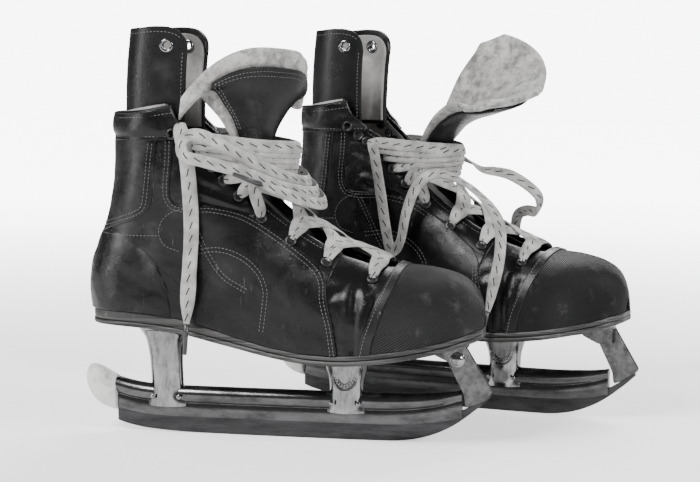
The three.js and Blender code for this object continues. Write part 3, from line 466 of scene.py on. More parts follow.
def facing_rotation(tree, tangent=None):
    """Turns an instance's Z to the surface's own direction, and its X along the path."""
    outward = node(tree, "GeometryNodeInputNamedAttribute", {"Name": "outward"}, data_type="FLOAT_VECTOR")
    first = node(tree, "FunctionNodeAlignEulerToVector", {"Vector": outward.outputs["Attribute"]}, axis="Z")
    if tangent is None:
        return first.outputs["Rotation"]
    along = node(tree, "FunctionNodeAlignEulerToVector",
                 {"Vector": tangent, "Rotation": first.outputs["Rotation"]},
                 axis="X", pivot_axis="Z")
    return along.outputs["Rotation"]


def repeated(name, foot, tree, rows, values, body="skate", joined=True):
    """Runs a tree on rows of (points, outward directions) and keeps the mesh; joined rows are paths."""
    points = np.vstack([r[0] for r in rows])
    outward = np.vstack([r[1] for r in rows])
    edges, start = [], 0
    for row_points, _ in rows if joined else []:
        edges += [(start + i, start + i + 1) for i in range(len(row_points) - 1)]
        start += len(row_points)
    mesh = bpy.data.meshes.new(name)
    mesh.from_pydata(to_row(points, foot).tolist(), edges, [])
    tips = to_row(points + outward, foot) - to_row(points, foot)
    layer = mesh.attributes.new("outward", "FLOAT_VECTOR", "POINT")
    layer.data.foreach_set("vector", tips.astype(np.float32).ravel() * 1000)
    thing = bpy.data.objects.new(f"{foot}_{name}", mesh)
    bpy.context.scene.collection.objects.link(thing)
    modifier = thing.modifiers.new("repeat", "NODES")
    modifier.node_group = tree
    for socket in tree.interface.items_tree:
        if socket.in_out == "INPUT" and socket.name in values:
            modifier[socket.identifier] = values[socket.name]
    graph = bpy.context.evaluated_depsgraph_get()
    made = bpy.data.meshes.new_from_object(thing.evaluated_get(graph))
    thing.modifiers.clear()
    thing.data = made
    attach(thing, f"{foot}_{body}")
    return thing


rivet_tree, given, out = geometry_tree("rivet_heads", "Radius", "Height")
ball = node(rivet_tree, "GeometryNodeMeshUVSphere", {"Segments": 20, "Rings": 10, "Radius": 1.0})
size = node(rivet_tree, "ShaderNodeCombineXYZ", {
    "X": given.outputs["Radius"], "Y": given.outputs["Radius"], "Z": given.outputs["Height"]})
heads = node(rivet_tree, "GeometryNodeInstanceOnPoints", {
    "Points": given.outputs["Geometry"], "Instance": ball.outputs["Mesh"],
    "Rotation": facing_rotation(rivet_tree), "Scale": size.outputs["Vector"]})
close_tree(rivet_tree, given, out, heads.outputs["Instances"])

FOOT_RIVETS = [(54, 8.9, 27.5), (74, 8.9, 27.5), (190, 9.2, 27.5), (210, 9.2, 27.5)]
for foot in FEET:
    places = [(x, side * y, z) for x, y, z in FOOT_RIVETS for side in (-1, 1)]
    outward = [(0, np.sign(y), 0) for x, y, z in places]
    repeated("foot_rivets", foot, rivet_tree, [(np.array(places, float), np.array(outward, float))],
             {"Radius": 0.0019, "Height": 0.0009, "Finish": chromed_steel}, joined=False)
    plate = [(x + dx, dy, float(outsole_bottom(x + dx)) - 3.0) for x, reach in ((61, 18), (200, 14))
             for dx in (-reach, reach) for dy in (-11, 11)]
    repeated("plate_rivets", foot, rivet_tree,
             [(np.array(plate, float), np.array([(0, 0, -1)] * len(plate), float))],
             {"Radius": 0.003, "Height": 0.0012, "Finish": chromed_steel}, joined=False)


RIDGE_SIDES = 8


def ring_strip(centre, radius, wide, high, normal_side, turns=48):
    """A low round ridge on a post's side, bent to the post's curve."""
    rings = []
    for a in np.linspace(0, 2 * math.pi, turns, endpoint=False):
        ring = []
        for b in np.linspace(0, 2 * math.pi, RIDGE_SIDES, endpoint=False):
            r = radius + wide * math.cos(b)
            x, z = centre[0] + r * math.cos(a), centre[2] + r * math.sin(a)
            bend = SEAL_BEND * (x - centre[0]) ** 2
            ring.append((x, normal_side * (centre[1] - bend + high * math.sin(b)), z))
        rings.append(ring)
    points = np.array(rings).reshape(-1, 3)
    n = RIDGE_SIDES
    faces = [(i * n + j, i * n + (j + 1) % n, ((i + 1) % turns) * n + (j + 1) % n,
              ((i + 1) % turns) * n + j)
             for i in range(turns) for j in range(n)]
    return points, faces


SEAL_BEND = 0.028
SEAL_CENTRE = (200, 11.0, 47)
for foot in FEET:
    shapes = [ring_strip(SEAL_CENTRE, radius, 0.35, 0.4, side) for side in (-1, 1) for radius in (9.6, 8.6,
                                                                                                  5.0)]
    for side in (-1, 1):
        for a in np.linspace(0, 2 * math.pi, 18, endpoint=False):
            x, z = SEAL_CENTRE[0] + 6.8 * math.cos(a), SEAL_CENTRE[2] + 6.8 * math.sin(a)
            y = SEAL_CENTRE[1] - SEAL_BEND * (x - SEAL_CENTRE[0]) ** 2
            shapes.append(ring_strip((x, y, z), 0.7, 0.25, 0.35, side, 8))
    points, faces, start = [], [], 0
    for p, f in shapes:
        points.append(p)
        faces += [tuple(v + start for v in face) for face in f]
        start += len(p)
    piece("post_seal", foot, np.vstack(points), faces, chromed_steel, slot="chromed_steel")

# ------------------------------------------------------------------------------ toe strut
# A flat bar that rises from the runner's front tip, riveted to a lug under the toe.
STRUT_OUTLINE = [(273, 71), (288, 72.5), (293, 64), (308, 39.5), (300, 31.5), (288, 27), (287, 36),
                 (276, 58)]
STRUT_NEAR, STRUT_THICK = 2.0, 3.2
strut_steel = worn_metal("strut_steel", (0.04, 0.04, 0.04), (0.16, 0.16, 0.163), 0.26, (30, 60, 30), 0.25,
                         60)


def rounded(outline, radius, steps=5):
    """An outline with each corner turned on a small arc."""
    corners = [np.array(p, float) for p in outline]
    made = []
    for i, p in enumerate(corners):
        before, after = corners[i - 1], corners[(i + 1) % len(corners)]
        reach = min(radius, np.linalg.norm(p - before) * 0.45, np.linalg.norm(p - after) * 0.45)
        a = p + (before - p) / np.linalg.norm(before - p) * reach
        b = p + (after - p) / np.linalg.norm(after - p) * reach
        for s in np.linspace(0, 1, steps):
            made.append((1 - s) ** 2 * a + 2 * s * (1 - s) * p + s**2 * b)
    return np.array(made)


def inset_outline(outline, distance):
    centre = outline.mean(0)
    return outline + (centre - outline) / np.linalg.norm(centre - outline, axis=1)[:, None] * distance


def flat_bar(outline, y0, y1, edge):
    """A flat bar between two values of Y with a small worn bevel all round."""
    small = inset_outline(outline, edge)
    rings = [(small, y0), (outline, y0 + edge), (outline, y1 - edge), (small, y1)]
    return loft([np.column_stack([o[:, 0], np.full(len(o), y), o[:, 1]]) for o, y in rings])


RIVET_AT = (282, 62)
for foot in FEET:
    bar = piece("strut_bar", foot,
                *flat_bar(rounded(STRUT_OUTLINE, 2.2), -STRUT_NEAR - STRUT_THICK, -STRUT_NEAR, 0.5),
                strut_steel, nodes=["toe_strut"], slot="runner_steel")
    sharp_below(bar, 40)
    plate_rings = []
    for x in np.linspace(250.5, 289.5, 14):
        top = float(outsole_bottom(x)) - 0.35
        half = 15.5 - 3 * smooth(x, 280, 289.5)
        plate_rings.append([(x, -half, top), (x, half, top), (x, half + 0.3, top - 1.0),
                            (x, half - 0.4, top - 2.0),
                            (x, 4.4, top - 2.1), (x, 3.4, top - 4.0), (x, -0.6, top - 4.0),
                            (x, -1.5, top - 2.1),
                            (x, -half + 0.4, top - 2.0), (x, -half - 0.3, top - 1.0)])
    web = flat_bar(rounded([(264, 64.5), (266, 70.5), (288, 74), (288, 58.5), (277, 58.5)], 2), -1.5, 4.3,
                   0.4)
    plate_points, plate_faces = loft(plate_rings)
    web_points, web_faces = web
    faces = list(plate_faces) + [tuple(v + len(plate_points) for v in f) for f in web_faces]
    lug = piece("lug_plate", foot, np.vstack([plate_points, web_points]), faces, strut_steel,
                nodes=["toe_lug"], slot="chromed_steel")
    sharp_below(lug, 40)
    head = []
    for r, h in ((5.6, 0.0), (5.6, 0.5), (5.1, 0.8), (4.5, 0.85), (4.3, 0.9), (3.9, 1.5), (3.1, 2.1),
                 (1.9, 2.5), (0.6, 2.65)):
        turns = np.linspace(0, 2 * math.pi, 32, endpoint=False)
        y = -STRUT_NEAR - STRUT_THICK - 0.1 - h
        head.append(np.column_stack([RIVET_AT[0] + r * np.cos(turns), np.full(32, y),
                                     RIVET_AT[1] + r * np.sin(turns)]))
    piece("strut_rivet_head", foot, *loft(head), chromed_steel, nodes=["strut_rivet"], slot="chromed_steel")

# ------------------------------------------------------------------------------ soles
# A leather outsole and midsole, stacked and trimmed flush, with the heel wedged up. Their edges are
# inked, scuffed and parting a little. The insole lies inside on the midsole.
sole_leather, tree, shader, place = finish("sole_leather", (0.05, 0.047, 0.045), 0.5)
layers = cloud(tree, stretched(tree, place, (6, 6, 900)), 1.0, 4.0, 0.6)
scuffs = cloud(tree, place, 70.0, 8.0, 0.7)
edge_colour = mixed(tree, band(tree, layers, 0.42, 0.62), (0.012, 0.012, 0.012), (0.075, 0.073, 0.071))
tree.links.new(mixed(tree, band(tree, scuffs, 0.6, 0.8), edge_colour, (0.22, 0.215, 0.21)),
               shader.inputs["Base Color"])
tree.links.new(band(tree, scuffs, 0.3, 0.7, 0.32, 0.65), shader.inputs["Roughness"])
bumped(tree, shader, layers, 0.5, 0.0006)

FOOT_HALF = through([(0, 34), (60, 33.5), (95, 33), (120, 34), (150, 38), (180, 43.5), (210, 47),
                     (240, 47), (270, 45.5), (300, 44)])
ANKLE_HALF = through([(95, 33.5), (120, 35), (150, 35.5), (175, 37.5), (200, 38), (225, 37.5), (250, 39)])
BACK_LINE = through([(80, 10), (95, 9.5), (110, 8), (128, 10.5), (143, 15.5), (158, 22), (175, 26.5),
                     (200, 29.5), (250, 31)])
MIDDLE = through([(0, 0), (150, 0), (220, 1), (300, 5)])
TOE_X = 300.5


def round_off(share, power):
    return (1 - (1 - np.clip(share, 0, 1)) ** power) ** (1 / power)


def boot_half_width(x, z, below_ridge):
    """Half-width of the boot at a point of its side view, a distance below the instep ridge."""
    ankle = smooth(z, 105, 165) * smooth(190 - np.asarray(x, float), 20, 80)
    side = FOOT_HALF(x) * (1 - ankle) + ANKLE_HALF(z) * ankle
    heel = round_off((x - BACK_LINE(z)) / 36, 2.15)
    toe = round_off((TOE_X - x) / 66, 2.35)
    toe_box = smooth(x, 215, 262)
    top = round_off(below_ridge / (50 - 8 * toe_box), 2 + 0.5 * toe_box)
    return side * heel * toe * top


def sole_ring(x, top, bottom, margin):
    """One cross-section of a sole: rounded edges with a groove where it has been trimmed."""
    half = max(float(boot_half_width(x, sole_line(x), 100)) + margin, 1.5)
    middle = float(MIDDLE(x))
    tall = top - bottom
    side = [(half - 0.7, top), (half - 0.1, top - 0.22 * tall), (half, top - 0.5 * tall),
            (half - 0.15, top - 0.8 * tall), (half - 0.9, bottom)]
    ring = side + [(half * 0.5, bottom)] + [(-half * 0.5, bottom)] + [(-y, z) for y, z in reversed(side)]
    ring += [(-half * 0.5, top), (half * 0.5, top)]
    return [(x, middle + y, z) for y, z in ring]


SOLE_FRONT, SOLE_BACK = 300.0, 10.5
sole_x = SOLE_BACK + (SOLE_FRONT - SOLE_BACK) * (1 - np.cos(np.linspace(0.02, math.pi, 90))) / 2
for foot in FEET:
    outsole = piece("outsole_edge", foot, *loft([
        sole_ring(x, float(outsole_top(x)), float(outsole_bottom(x)), 2.2) for x in sole_x]),
        sole_leather, nodes=["outsole"], slot="sole_leather")
    midsole = piece("midsole_edge", foot, *loft([
        sole_ring(x, float(midsole_top(x)), float(midsole_bottom(x)), 1.5) for x in sole_x]),
        sole_leather, nodes=["midsole"], slot="sole_leather")
    for part in (outsole, midsole):
        sharp_below(part, 48)

lining_leather, tree, shader, place = finish("lining_leather", (0.24, 0.235, 0.23), 0.42)
stains = cloud(tree, place, 26.0, 6.0, 0.6)
pores = cloud(tree, place, 900.0, 2.0, 0.5)
tree.links.new(mixed(tree, band(tree, stains, 0.32, 0.7), (0.1, 0.098, 0.096), (0.42, 0.41, 0.4)),
               shader.inputs["Base Color"])
tree.links.new(band(tree, stains, 0.3, 0.7, 0.3, 0.55), shader.inputs["Roughness"])
bumped(tree, shader, pores, 0.25, 0.0004)
for foot in FEET:
    inside = []
    for x in np.linspace(14.5, 294, 60):
        half = max(float(boot_half_width(x, sole_line(x), 100)) - 4.6, 1.0)
        low, middle = float(sole_line(x)), float(MIDDLE(x))
        inside.append([(x, middle + half * math.cos(a), low + 1.3 + 1.2 * math.sin(a)) for a in
                       np.linspace(0, 2 * math.pi, 20, endpoint=False)])
    piece("insole_pad", foot, *loft(inside), lining_leather, nodes=["insole"], slot="lining_leather")

# ------------------------------------------------------------------------------ boot lining
# The boot is lasted over one form. Its sections turn from upright at the toe to level at the cuff.
# A pale leather lining follows the inside of the form and shows wherever the boot gapes.
SECTIONS = np.array([
    (300.3, 86.5, 300.5, 95), (298, 85, 298.3, 105), (292, 83.5, 291.5, 116), (281, 80.5, 280, 123),
    (262, 76, 263, 127), (240, 72.5, 243, 129.5), (215, 69.4, 224, 134.5), (188, 69, 205, 142),
    (160, 71, 186, 152.5), (130, 77, 168, 165), (98, 86, 152, 178), (64, 92.5, 139, 191),
    (32, 94.6, 130, 201), (10, 95, 122, 211), (8.2, 112, 117.5, 218), (11.5, 132, 113.5, 225),
    (21, 156, 110.5, 231), (27, 184, 108, 237.5), (29.5, 212, 106.5, 243), (31, 248, 105, 253),
])
SECTION_COLUMNS = [through(list(enumerate(SECTIONS[:, k]))) for k in range(4)]
THROAT_DEPTH = through([(5, 0), (6, 3), (8, 6), (10, 8), (12, 9), (14, 11), (16, 17), (18, 26), (19, 31)])


def section(t):
    return [column(t) for column in SECTION_COLUMNS]


def boot_point(t, turn):
    """A point of the form: turn is 0 on the ridge and +-pi at the sole or the back."""
    bx, bz, tx, tz = section(t)
    share = (1 + np.cos(turn)) / 2
    x, z = bx + (tx - bx) * share, bz + (tz - bz) * share
    below = np.hypot(tx - bx, tz - bz) * (1 - share)
    y = np.where(turn < 0, -1, 1) * boot_half_width(x, z, below) + MIDDLE(x)
    return np.stack([x, y, z], -1)


def boot_skin(t, turn, lift=0.0):
    """A point a distance off the form, along the form's own outward direction."""
    t, turn, lift = np.broadcast_arrays(np.asarray(t, float), np.asarray(turn, float), lift)
    turn = np.where(turn > math.pi, turn - 2 * math.pi, turn)
    along = boot_point(np.minimum(t + 0.05, 19), turn) - boot_point(np.maximum(t - 0.05, 0), turn)
    side = np.where(turn < 0, -1, 1)
    low = np.where(side > 0, np.minimum(turn + 0.03, math.pi), np.minimum(turn + 0.03, -0.0001))
    high = np.where(side > 0, np.maximum(turn - 0.03, 0.0001), np.maximum(turn - 0.03, -math.pi))
    across = boot_point(t, low) - boot_point(t, high)
    normal = np.cross(across, along)
    normal /= np.maximum(np.linalg.norm(normal, axis=-1), 1e-9)[..., None]
    return boot_point(t, turn) + normal * lift[..., None]


def on_form(points, side):
    """Side-view points as (t, turn) places on one side of the form."""
    points = np.atleast_2d(np.array(points, float))
    x, z = points[:, 0], points[:, 1]
    low, high = np.zeros(len(x)), np.full(len(x), 19.0)
    for _ in range(40):
        t = (low + high) / 2
        bx, bz, tx, tz = section(t)
        ahead = (tx - bx) * (z - bz) - (tz - bz) * (x - bx) > 0
        low, high = np.where(ahead, t, low), np.where(ahead, high, t)
    bx, bz, tx, tz = section(t)
    share = ((x - bx) * (tx - bx) + (z - bz) * (tz - bz)) / ((tx - bx) ** 2 + (tz - bz) ** 2)
    return np.column_stack([t, side * np.arccos(np.clip(2 * share - 1, -1, 1))])


def throat_turn(t, inward=0.0):
    """The turn, without its sign, of a place that far below the throat's edge."""
    bx, bz, tx, tz = section(t)
    share = 1 - (THROAT_DEPTH(t) + inward) / np.hypot(tx - bx, tz - bz)
    return np.arccos(np.clip(2 * share - 1, -1, 1))


def spline(points, count):
    """Evenly spaced places on a smooth line through side-view points."""
    points = np.array(points, float)
    reach = np.concatenate([[0], np.cumsum(np.linalg.norm(np.diff(points, axis=0), axis=1))])
    s = np.linspace(0, reach[-1], count)
    return np.column_stack([through(list(zip(reach, points[:, k])))(s) for k in range(points.shape[1])])


def slab(outer, inner):
    """Points and faces of a closed sheet between two grids of the same size."""
    rows, n = outer.shape[:2]
    points = np.concatenate([outer, inner[:, ::-1]], 1).reshape(-1, 3)
    k = 2 * n
    faces = [(i * k + j, i * k + (j + 1) % k, (i + 1) * k + (j + 1) % k, (i + 1) * k + j)
             for i in range(rows - 1) for j in range(k)]
    for start, flip in ((0, False), ((rows - 1) * k, True)):
        for j in range(n - 1):
            face = (start + j, start + j + 1, start + k - 2 - j, start + k - 1 - j)
            faces.append(face if flip else face[::-1])
    return points, faces


def lengths(grid):
    """Real lengths along both ways of a grid, for a pattern that follows the sheet."""
    down = np.concatenate([np.zeros((1, grid.shape[1])),
                           np.cumsum(np.linalg.norm(np.diff(grid, axis=0), axis=2), 0)])
    across = np.concatenate([np.zeros((grid.shape[0], 1)),
                             np.cumsum(np.linalg.norm(np.diff(grid, axis=1), axis=2), 1)], 1)
    both = np.stack([down, across], -1) / 1000
    return np.concatenate([both, both[:, ::-1]], 1).reshape(-1, 2)


def edged(count, edge=0.012):
    """Steps from 0 to 1 with two extra lines close to each end, so that a cut edge can be rounded."""
    return np.unique(np.concatenate([np.linspace(0, 1, count), [edge / 3, edge, 1 - edge, 1 - edge / 3]]))


def rumple(points, size, height, seed):
    """Smooth random heights over points, in millimetres."""
    return np.array([noise.noise(Vector(p) / size + Vector((seed, 0, 0))) for p in points.reshape(-1, 3)]
                    ).reshape(points.shape[:-1]) * height


NEXT_TO_RIM = 0.35  # share of the edge's rounding, one line in


def rim_of(shape):
    """1 on the border of a grid, 0 inside it."""
    rim = np.zeros(shape)
    rim[[0, -1], :] = 1
    rim[:, [0, -1]] = 1
    return rim


def leather_sheet(name, foot, t, turn, lift, thick, material, wrinkle=0.35, seed=0, dent=None, soft=0.5,
                  **kept):
    """A cut sheet of leather on the form, with worn edges and the rumples of use."""
    base = boot_skin(t, turn)
    heights = lift + rumple(base, 14.0, wrinkle, seed) + rumple(base, 5.0, wrinkle * 0.3, seed + 9)
    if dent is not None:
        heights = heights + dent(base)
    rim = rim_of(heights.shape)
    rim[[1, -2], 1:-1] = NEXT_TO_RIM
    rim[1:-1, [1, -2]] = NEXT_TO_RIM
    outer = boot_skin(t, turn, heights - rim * soft)
    inner = boot_skin(t, turn, heights - thick)
    points, faces = slab(outer, inner)
    return piece(name, foot, points, faces, material, uv=lengths(outer), **kept)


CUFF_T = 18.75
for foot in FEET:
    for side, half in ((-1, "outer"), (1, "inner")):
        t = np.linspace(CUFF_T, 5.4, 90)[:, None]
        steps = edged(30)[None, :]
        edge = throat_turn(t, 1.5)
        turn = side * (edge + (math.pi - edge) * steps)
        leather_sheet("lining_" + half, foot, t + 0 * steps, turn, -2.9, 1.0, lining_leather, wrinkle=0.25,
                      seed=3, soft=0.1, slot="lining_leather")

# ------------------------------------------------------------------------------ vamp
# Black top-grain leather from the toe cap back to the quarters. It creases where the foot bends, and
# is rubbed grey on the folds.
def worn_leather(name, dark, pale, roughness, rub=0.5, scratch=0.35):
    material, tree, shader, place = finish(name, dark, roughness)
    cells = node(tree, "ShaderNodeTexVoronoi", {"Vector": place, "Scale": 1100.0, "Randomness": 1.0},
                 feature="DISTANCE_TO_EDGE")
    grain = band(tree, cells.outputs["Distance"], 0.0, 0.35)
    fold = cloud(tree, place, 45.0, 7.0, 0.62)
    broad = cloud(tree, place, 16.0, 4.0, 0.5)
    fine = cloud(tree, stretched(tree, place, (260, 260, 40)), 1.0, 5.0, 0.75)
    rubbed = calc(tree, "MULTIPLY", band(tree, broad, 0.52, 0.75), band(tree, fold, 0.48, 0.72))
    colour = mixed(tree, calc(tree, "MULTIPLY", rubbed, rub), dark, pale)
    marks = band(tree, fine, 0.63, 0.74, 0.0, scratch)
    tree.links.new(mixed(tree, marks, colour, pale), shader.inputs["Base Color"])
    gloss = band(tree, fold, 0.3, 0.75, roughness * 0.65, roughness * 1.5)
    tree.links.new(gloss, shader.inputs["Roughness"])
    shader.inputs["Specular IOR Level"].default_value = 0.28
    shader.inputs["Coat Weight"].default_value = 0.15
    shader.inputs["Coat Roughness"].default_value = 0.22
    under = node(tree, "ShaderNodeBump", {"Height": fold, "Strength": 0.45, "Distance": 0.0016})
    bumped(tree, shader, grain, 0.3, 0.00022, under.outputs["Normal"])
    return material


black_leather = worn_leather("black_leather", (0.004, 0.004, 0.0042), (0.14, 0.138, 0.136), 0.27, 0.3, 0.22)
vamp_leather = worn_leather("vamp_leather", (0.005, 0.005, 0.0052), (0.17, 0.168, 0.165), 0.24, 0.4, 0.3)


def crease_dents(creases):
    """A dent along each side-view line (x0, z0, x1, z1, width, depth); it fades towards its ends."""
    def dent(points):
        x, z = points[..., 0], points[..., 2]
        total = np.zeros(x.shape)
        for x0, z0, x1, z1, width, depth in creases:
            dx, dz = x1 - x0, z1 - z0
            along = np.clip(((x - x0) * dx + (z - z0) * dz) / (dx * dx + dz * dz), 0, 1)
            away = np.hypot(x - x0 - along * dx, z - z0 - along * dz)
            ridge = 0.45 * depth * np.exp(-(((away - 1.7 * width) / width) ** 2))
            total += -depth * np.exp(-((away / width) ** 2)) + ridge
        return total
    return dent


def coons(top, bottom, left, right):
    """A grid between four border lines of places; top and bottom run from left to right."""
    u = np.linspace(0, 1, len(top))[:, None, None]
    v = np.linspace(0, 1, len(left))[None, :, None]
    ruled = (1 - v) * top[:, None] + v * bottom[:, None] + (1 - u) * left[None] + u * right[None]
    corners = ((1 - u) * (1 - v) * top[0] + u * (1 - v) * top[-1] + (1 - u) * v * bottom[0] + u * v
               * bottom[-1])
    return ruled - corners


def refined(grid, edge=0.01):
    """The same grid with two extra lines close to each border."""
    for axis in (0, 1):
        n = grid.shape[axis]
        steps = edged(n, edge) * (n - 1)
        low = np.minimum(steps.astype(int), n - 2)
        share = (steps - low).reshape([-1 if k == axis else 1 for k in range(3)])
        grid = np.take(grid, low, axis) * (1 - share) + np.take(grid, low + 1, axis) * share
    return grid


def throat_line(t_from, t_to, side, count, inward=0.0):
    t = np.linspace(t_from, t_to, count)
    return np.column_stack([t, side * throat_turn(t, inward)])


TOE_SEAM = [(221.5, 68), (224.5, 82), (229.5, 96), (235, 110), (240, 123), (242.5, 129.4)]
VAMP_REAR = [(192, 69), (189, 84), (186, 100), (185, 112), (186, 124), (190, 138)]
VAMP_CREASES = [(213, 72, 214, 112, 3.2, 1.0), (223, 84, 228, 108, 2.8, 0.7),
                (198, 112, 222, 119, 3.4, 0.7)]
for foot in FEET:
    for side, half in ((-1, "outer"), (1, "inner")):
        top = throat_line(7.7, 5.02, side, 46)
        front = on_form(spline([(x + 4, z) for x, z in TOE_SEAM], 40), side)[::-1]
        front[0] = top[-1]
        rear = on_form(spline(VAMP_REAR, 40), side)[::-1]
        rear[0] = top[0]
        low_x = np.linspace(VAMP_REAR[0][0], TOE_SEAM[0][0] + 4, 46)
        low = on_form(np.column_stack([low_x, sole_line(low_x)]), side)
        front[-1], rear[-1] = low[-1], low[0]
        grid = refined(coons(top, low, rear, front))
        leather_sheet("vamp_" + half, foot, grid[..., 0], grid[..., 1], 0.2, 2.2, vamp_leather, wrinkle=0.6,
                      seed=21 + side, dent=crease_dents(VAMP_CREASES), nodes=["vamp"], slot="black_leather")

# ------------------------------------------------------------------------------ toe cap
# A hard toe under ribbed ballistic nylon, its ribs running slantwise. The vamp's edge is folded over
# the joint in a narrow leather binding, worn pale along its rim.
toe_nylon, tree, shader, place = finish("toe_nylon", (0.02, 0.02, 0.021), 0.5)
sheet_uv = node(tree, "ShaderNodeUVMap", uv_map="along").outputs["UV"]
RIB_SLANT = math.radians(24)
slanted = node(tree, "ShaderNodeMapping",
               {"Vector": sheet_uv, "Rotation": (0, 0, RIB_SLANT)}).outputs["Vector"]
ribs = node(tree, "ShaderNodeTexWave", {
    "Vector": slanted, "Scale": 185.0, "Distortion": 0.7, "Detail": 2.0, "Detail Scale": 1.4},
    wave_type="BANDS", bands_direction="Y")
threads_and_painted_shade = node(tree, "ShaderNodeTexWave", {
    "Vector": slanted, "Scale": 330.0, "Distortion": 1.5, "Detail": 1.0, "Detail Scale": 2.0},
    wave_type="BANDS", bands_direction="X")
wear = cloud(tree, place, 60.0, 8.0, 0.75)
height = calc(tree, "MULTIPLY", ribs.outputs["Fac"], band(tree, threads_and_painted_shade.outputs["Fac"], 0, 1, 0.75, 1.0))
# The ribs' crests are painted lighter and their grooves darker: painted highlight and painted shade that
# follow the relief.
rib_painted_shade = mixed(tree, band(tree, height, 0.35, 0.95), (0.002, 0.002, 0.0021), (0.02, 0.02, 0.02))
tree.links.new(mixed(tree, band(tree, wear, 0.56, 0.75, 0, 0.3), rib_painted_shade, (0.2, 0.2, 0.197)),
               shader.inputs["Base Color"])
bumped(tree, shader, height, 0.8, 0.0006)
shader.inputs["Specular IOR Level"].default_value = 0.25

seam_places = on_form(spline(TOE_SEAM, 60), 1)
seam_order = np.argsort(seam_places[:, 1])
seam_turn, seam_t = seam_places[seam_order, 1], seam_places[seam_order, 0]


def toe_seam_t(turn):
    return np.interp(np.abs(turn), seam_turn, seam_t)


binding_leather = worn_leather("binding_leather", (0.012, 0.012, 0.012), (0.42, 0.415, 0.405), 0.3, 0.8,
                               0.8)
turns = math.pi * np.linspace(-1, 1, 121)[None, :]
for foot in FEET:
    u = edged(70, 0.008)[:, None]
    t = 0.04 + (toe_seam_t(turns) - 0.04) * u
    leather_sheet("toe_box", foot, t, turns + 0 * u, 0.5, 3.0, toe_nylon, wrinkle=0.25, seed=5,
                  nodes=["toe_cap"], slot="toe_nylon")
    u = edged(9, 0.06)[:, None]
    t = toe_seam_t(turns) - 0.13 + 0.34 * u
    leather_sheet("toe_binding", foot, t, turns + 0 * u, 1.35, 1.5, binding_leather, wrinkle=0.35, seed=6,
                  soft=0.45, slot="black_leather")

# ------------------------------------------------------------------------------ facings
# The leather under the eyelets, from the cuff down the throat's edge to the vamp, with a stay inside.
# The quarters are sewn over its lower edge.
THROAT_FRONT_T = 7.15
FACING_LOW = [(71, 240), (71, 205), (71, 178), (80, 167), (102, 165), (126, 160), (148, 148), (168, 133),
              (184, 118), (190, 108)]
ANKLE_CREASES = [(92, 190, 128, 176, 3.0, 1.1), (96, 178, 134, 166, 3.2, 1.3),
                 (110, 200, 118, 186, 3.0, 0.8),
                 (140, 160, 172, 146, 3.0, 0.8), (86, 205, 100, 200, 2.5, 0.7)]
for foot in FEET:
    for side, half in ((-1, "outer"), (1, "inner")):
        top = throat_line(CUFF_T, THROAT_FRONT_T, side, 100)
        low = on_form(spline(FACING_LOW, 100), side)
        rear = np.column_stack([np.linspace(CUFF_T, low[0][0], 30), np.linspace(top[0][1], low[0][1], 30)])
        front = np.linspace(top[-1], low[-1], 30)
        grid = refined(coons(top, low, rear, front), 0.008)
        leather_sheet("facing_sheet_" + half, foot, grid[..., 0], grid[..., 1], 0.9, 2.4, vamp_leather,
                      wrinkle=0.55,
                      seed=31 + side, dent=crease_dents(ANKLE_CREASES), nodes=["facing_" + half],
                      slot="black_leather")

# ------------------------------------------------------------------------------ quarters
# The boot's sides: one large panel on each, sewn with a double row over the facing and the vamp, and
# pulled in under the sole. They are scuffed low down where skates and sticks knock them.
quarter_leather = worn_leather("quarter_leather", (0.0035, 0.0035, 0.0037), (0.2, 0.198, 0.195), 0.27, 0.22,
                               0.5)
QUARTER_SEAM = [(79, 240), (79.5, 205), (78, 182), (81, 175), (92, 173), (108, 173), (130, 167.5),
                (152, 155), (174, 140),
                (187, 129.5), (192.5, 120), (194, 108), (199, 90), (202, 70)]
SEAM_CORNER = 10
for foot in FEET:
    for side, half in ((-1, "outer"), (1, "inner")):
        seam = on_form(spline(QUARTER_SEAM[:SEAM_CORNER + 1], 110), side)
        front = on_form(spline(QUARTER_SEAM[SEAM_CORNER:], 44), side)
        rear = on_form(spline([(38, 240), (34, 200), (32, 160), (32, 125), (36, 94.7)], 44), side)
        low_x = np.linspace(36, 202, 110)
        low = on_form(np.column_stack([low_x, sole_line(low_x)]), side)
        cuff = on_form(spline([(38, 240), (79, 240)], 24), side)
        top = np.vstack([cuff[:-1], seam])
        pace = np.linspace(0, len(top) - 1, 110)
        top = np.column_stack([np.interp(pace, np.arange(len(top)), top[:, k]) for k in (0, 1)])
        front[0], front[-1], rear[0], rear[-1] = top[-1], low[-1], top[0], low[0]
        grid = refined(coons(top, low, rear, front), 0.006)
        leather_sheet("quarter_sheet_" + half, foot, grid[..., 0], grid[..., 1], 1.9, 2.0, quarter_leather,
                      wrinkle=0.5,
                      seed=41 + side, nodes=["quarter_" + half], slot="black_leather")

# ------------------------------------------------------------------------------ heel counter
# A stiffened cup moulded round the heel. It is the glossiest leather on the boot, with broad rubs.
heel_leather = worn_leather("heel_leather", (0.0035, 0.0035, 0.0037), (0.26, 0.257, 0.25), 0.2, 0.45, 0.3)


def round_the_back(front, low, high, rows, columns):
    """Places from one side's front edge round the back of the boot to the other side's."""
    around = np.linspace(-1, 1, columns)[:, None]
    up = edged(rows)[None, :]
    reach = 1 - np.cos(np.abs(around) * math.pi / 2)
    x = BACK_LINE(120) + (front((low(40) + high(40)) / 2) - BACK_LINE(120)) * reach + 0 * up
    for _ in range(6):
        z = low(x) + (high(x) - low(x)) * up
        x = BACK_LINE(z) + (front(z) - BACK_LINE(z)) * reach
    places = on_form(np.column_stack([x.ravel(), z.ravel()]), 1).reshape(*x.shape, 2)
    return places[..., 0], np.where(around < 0, -1, 1) * places[..., 1]


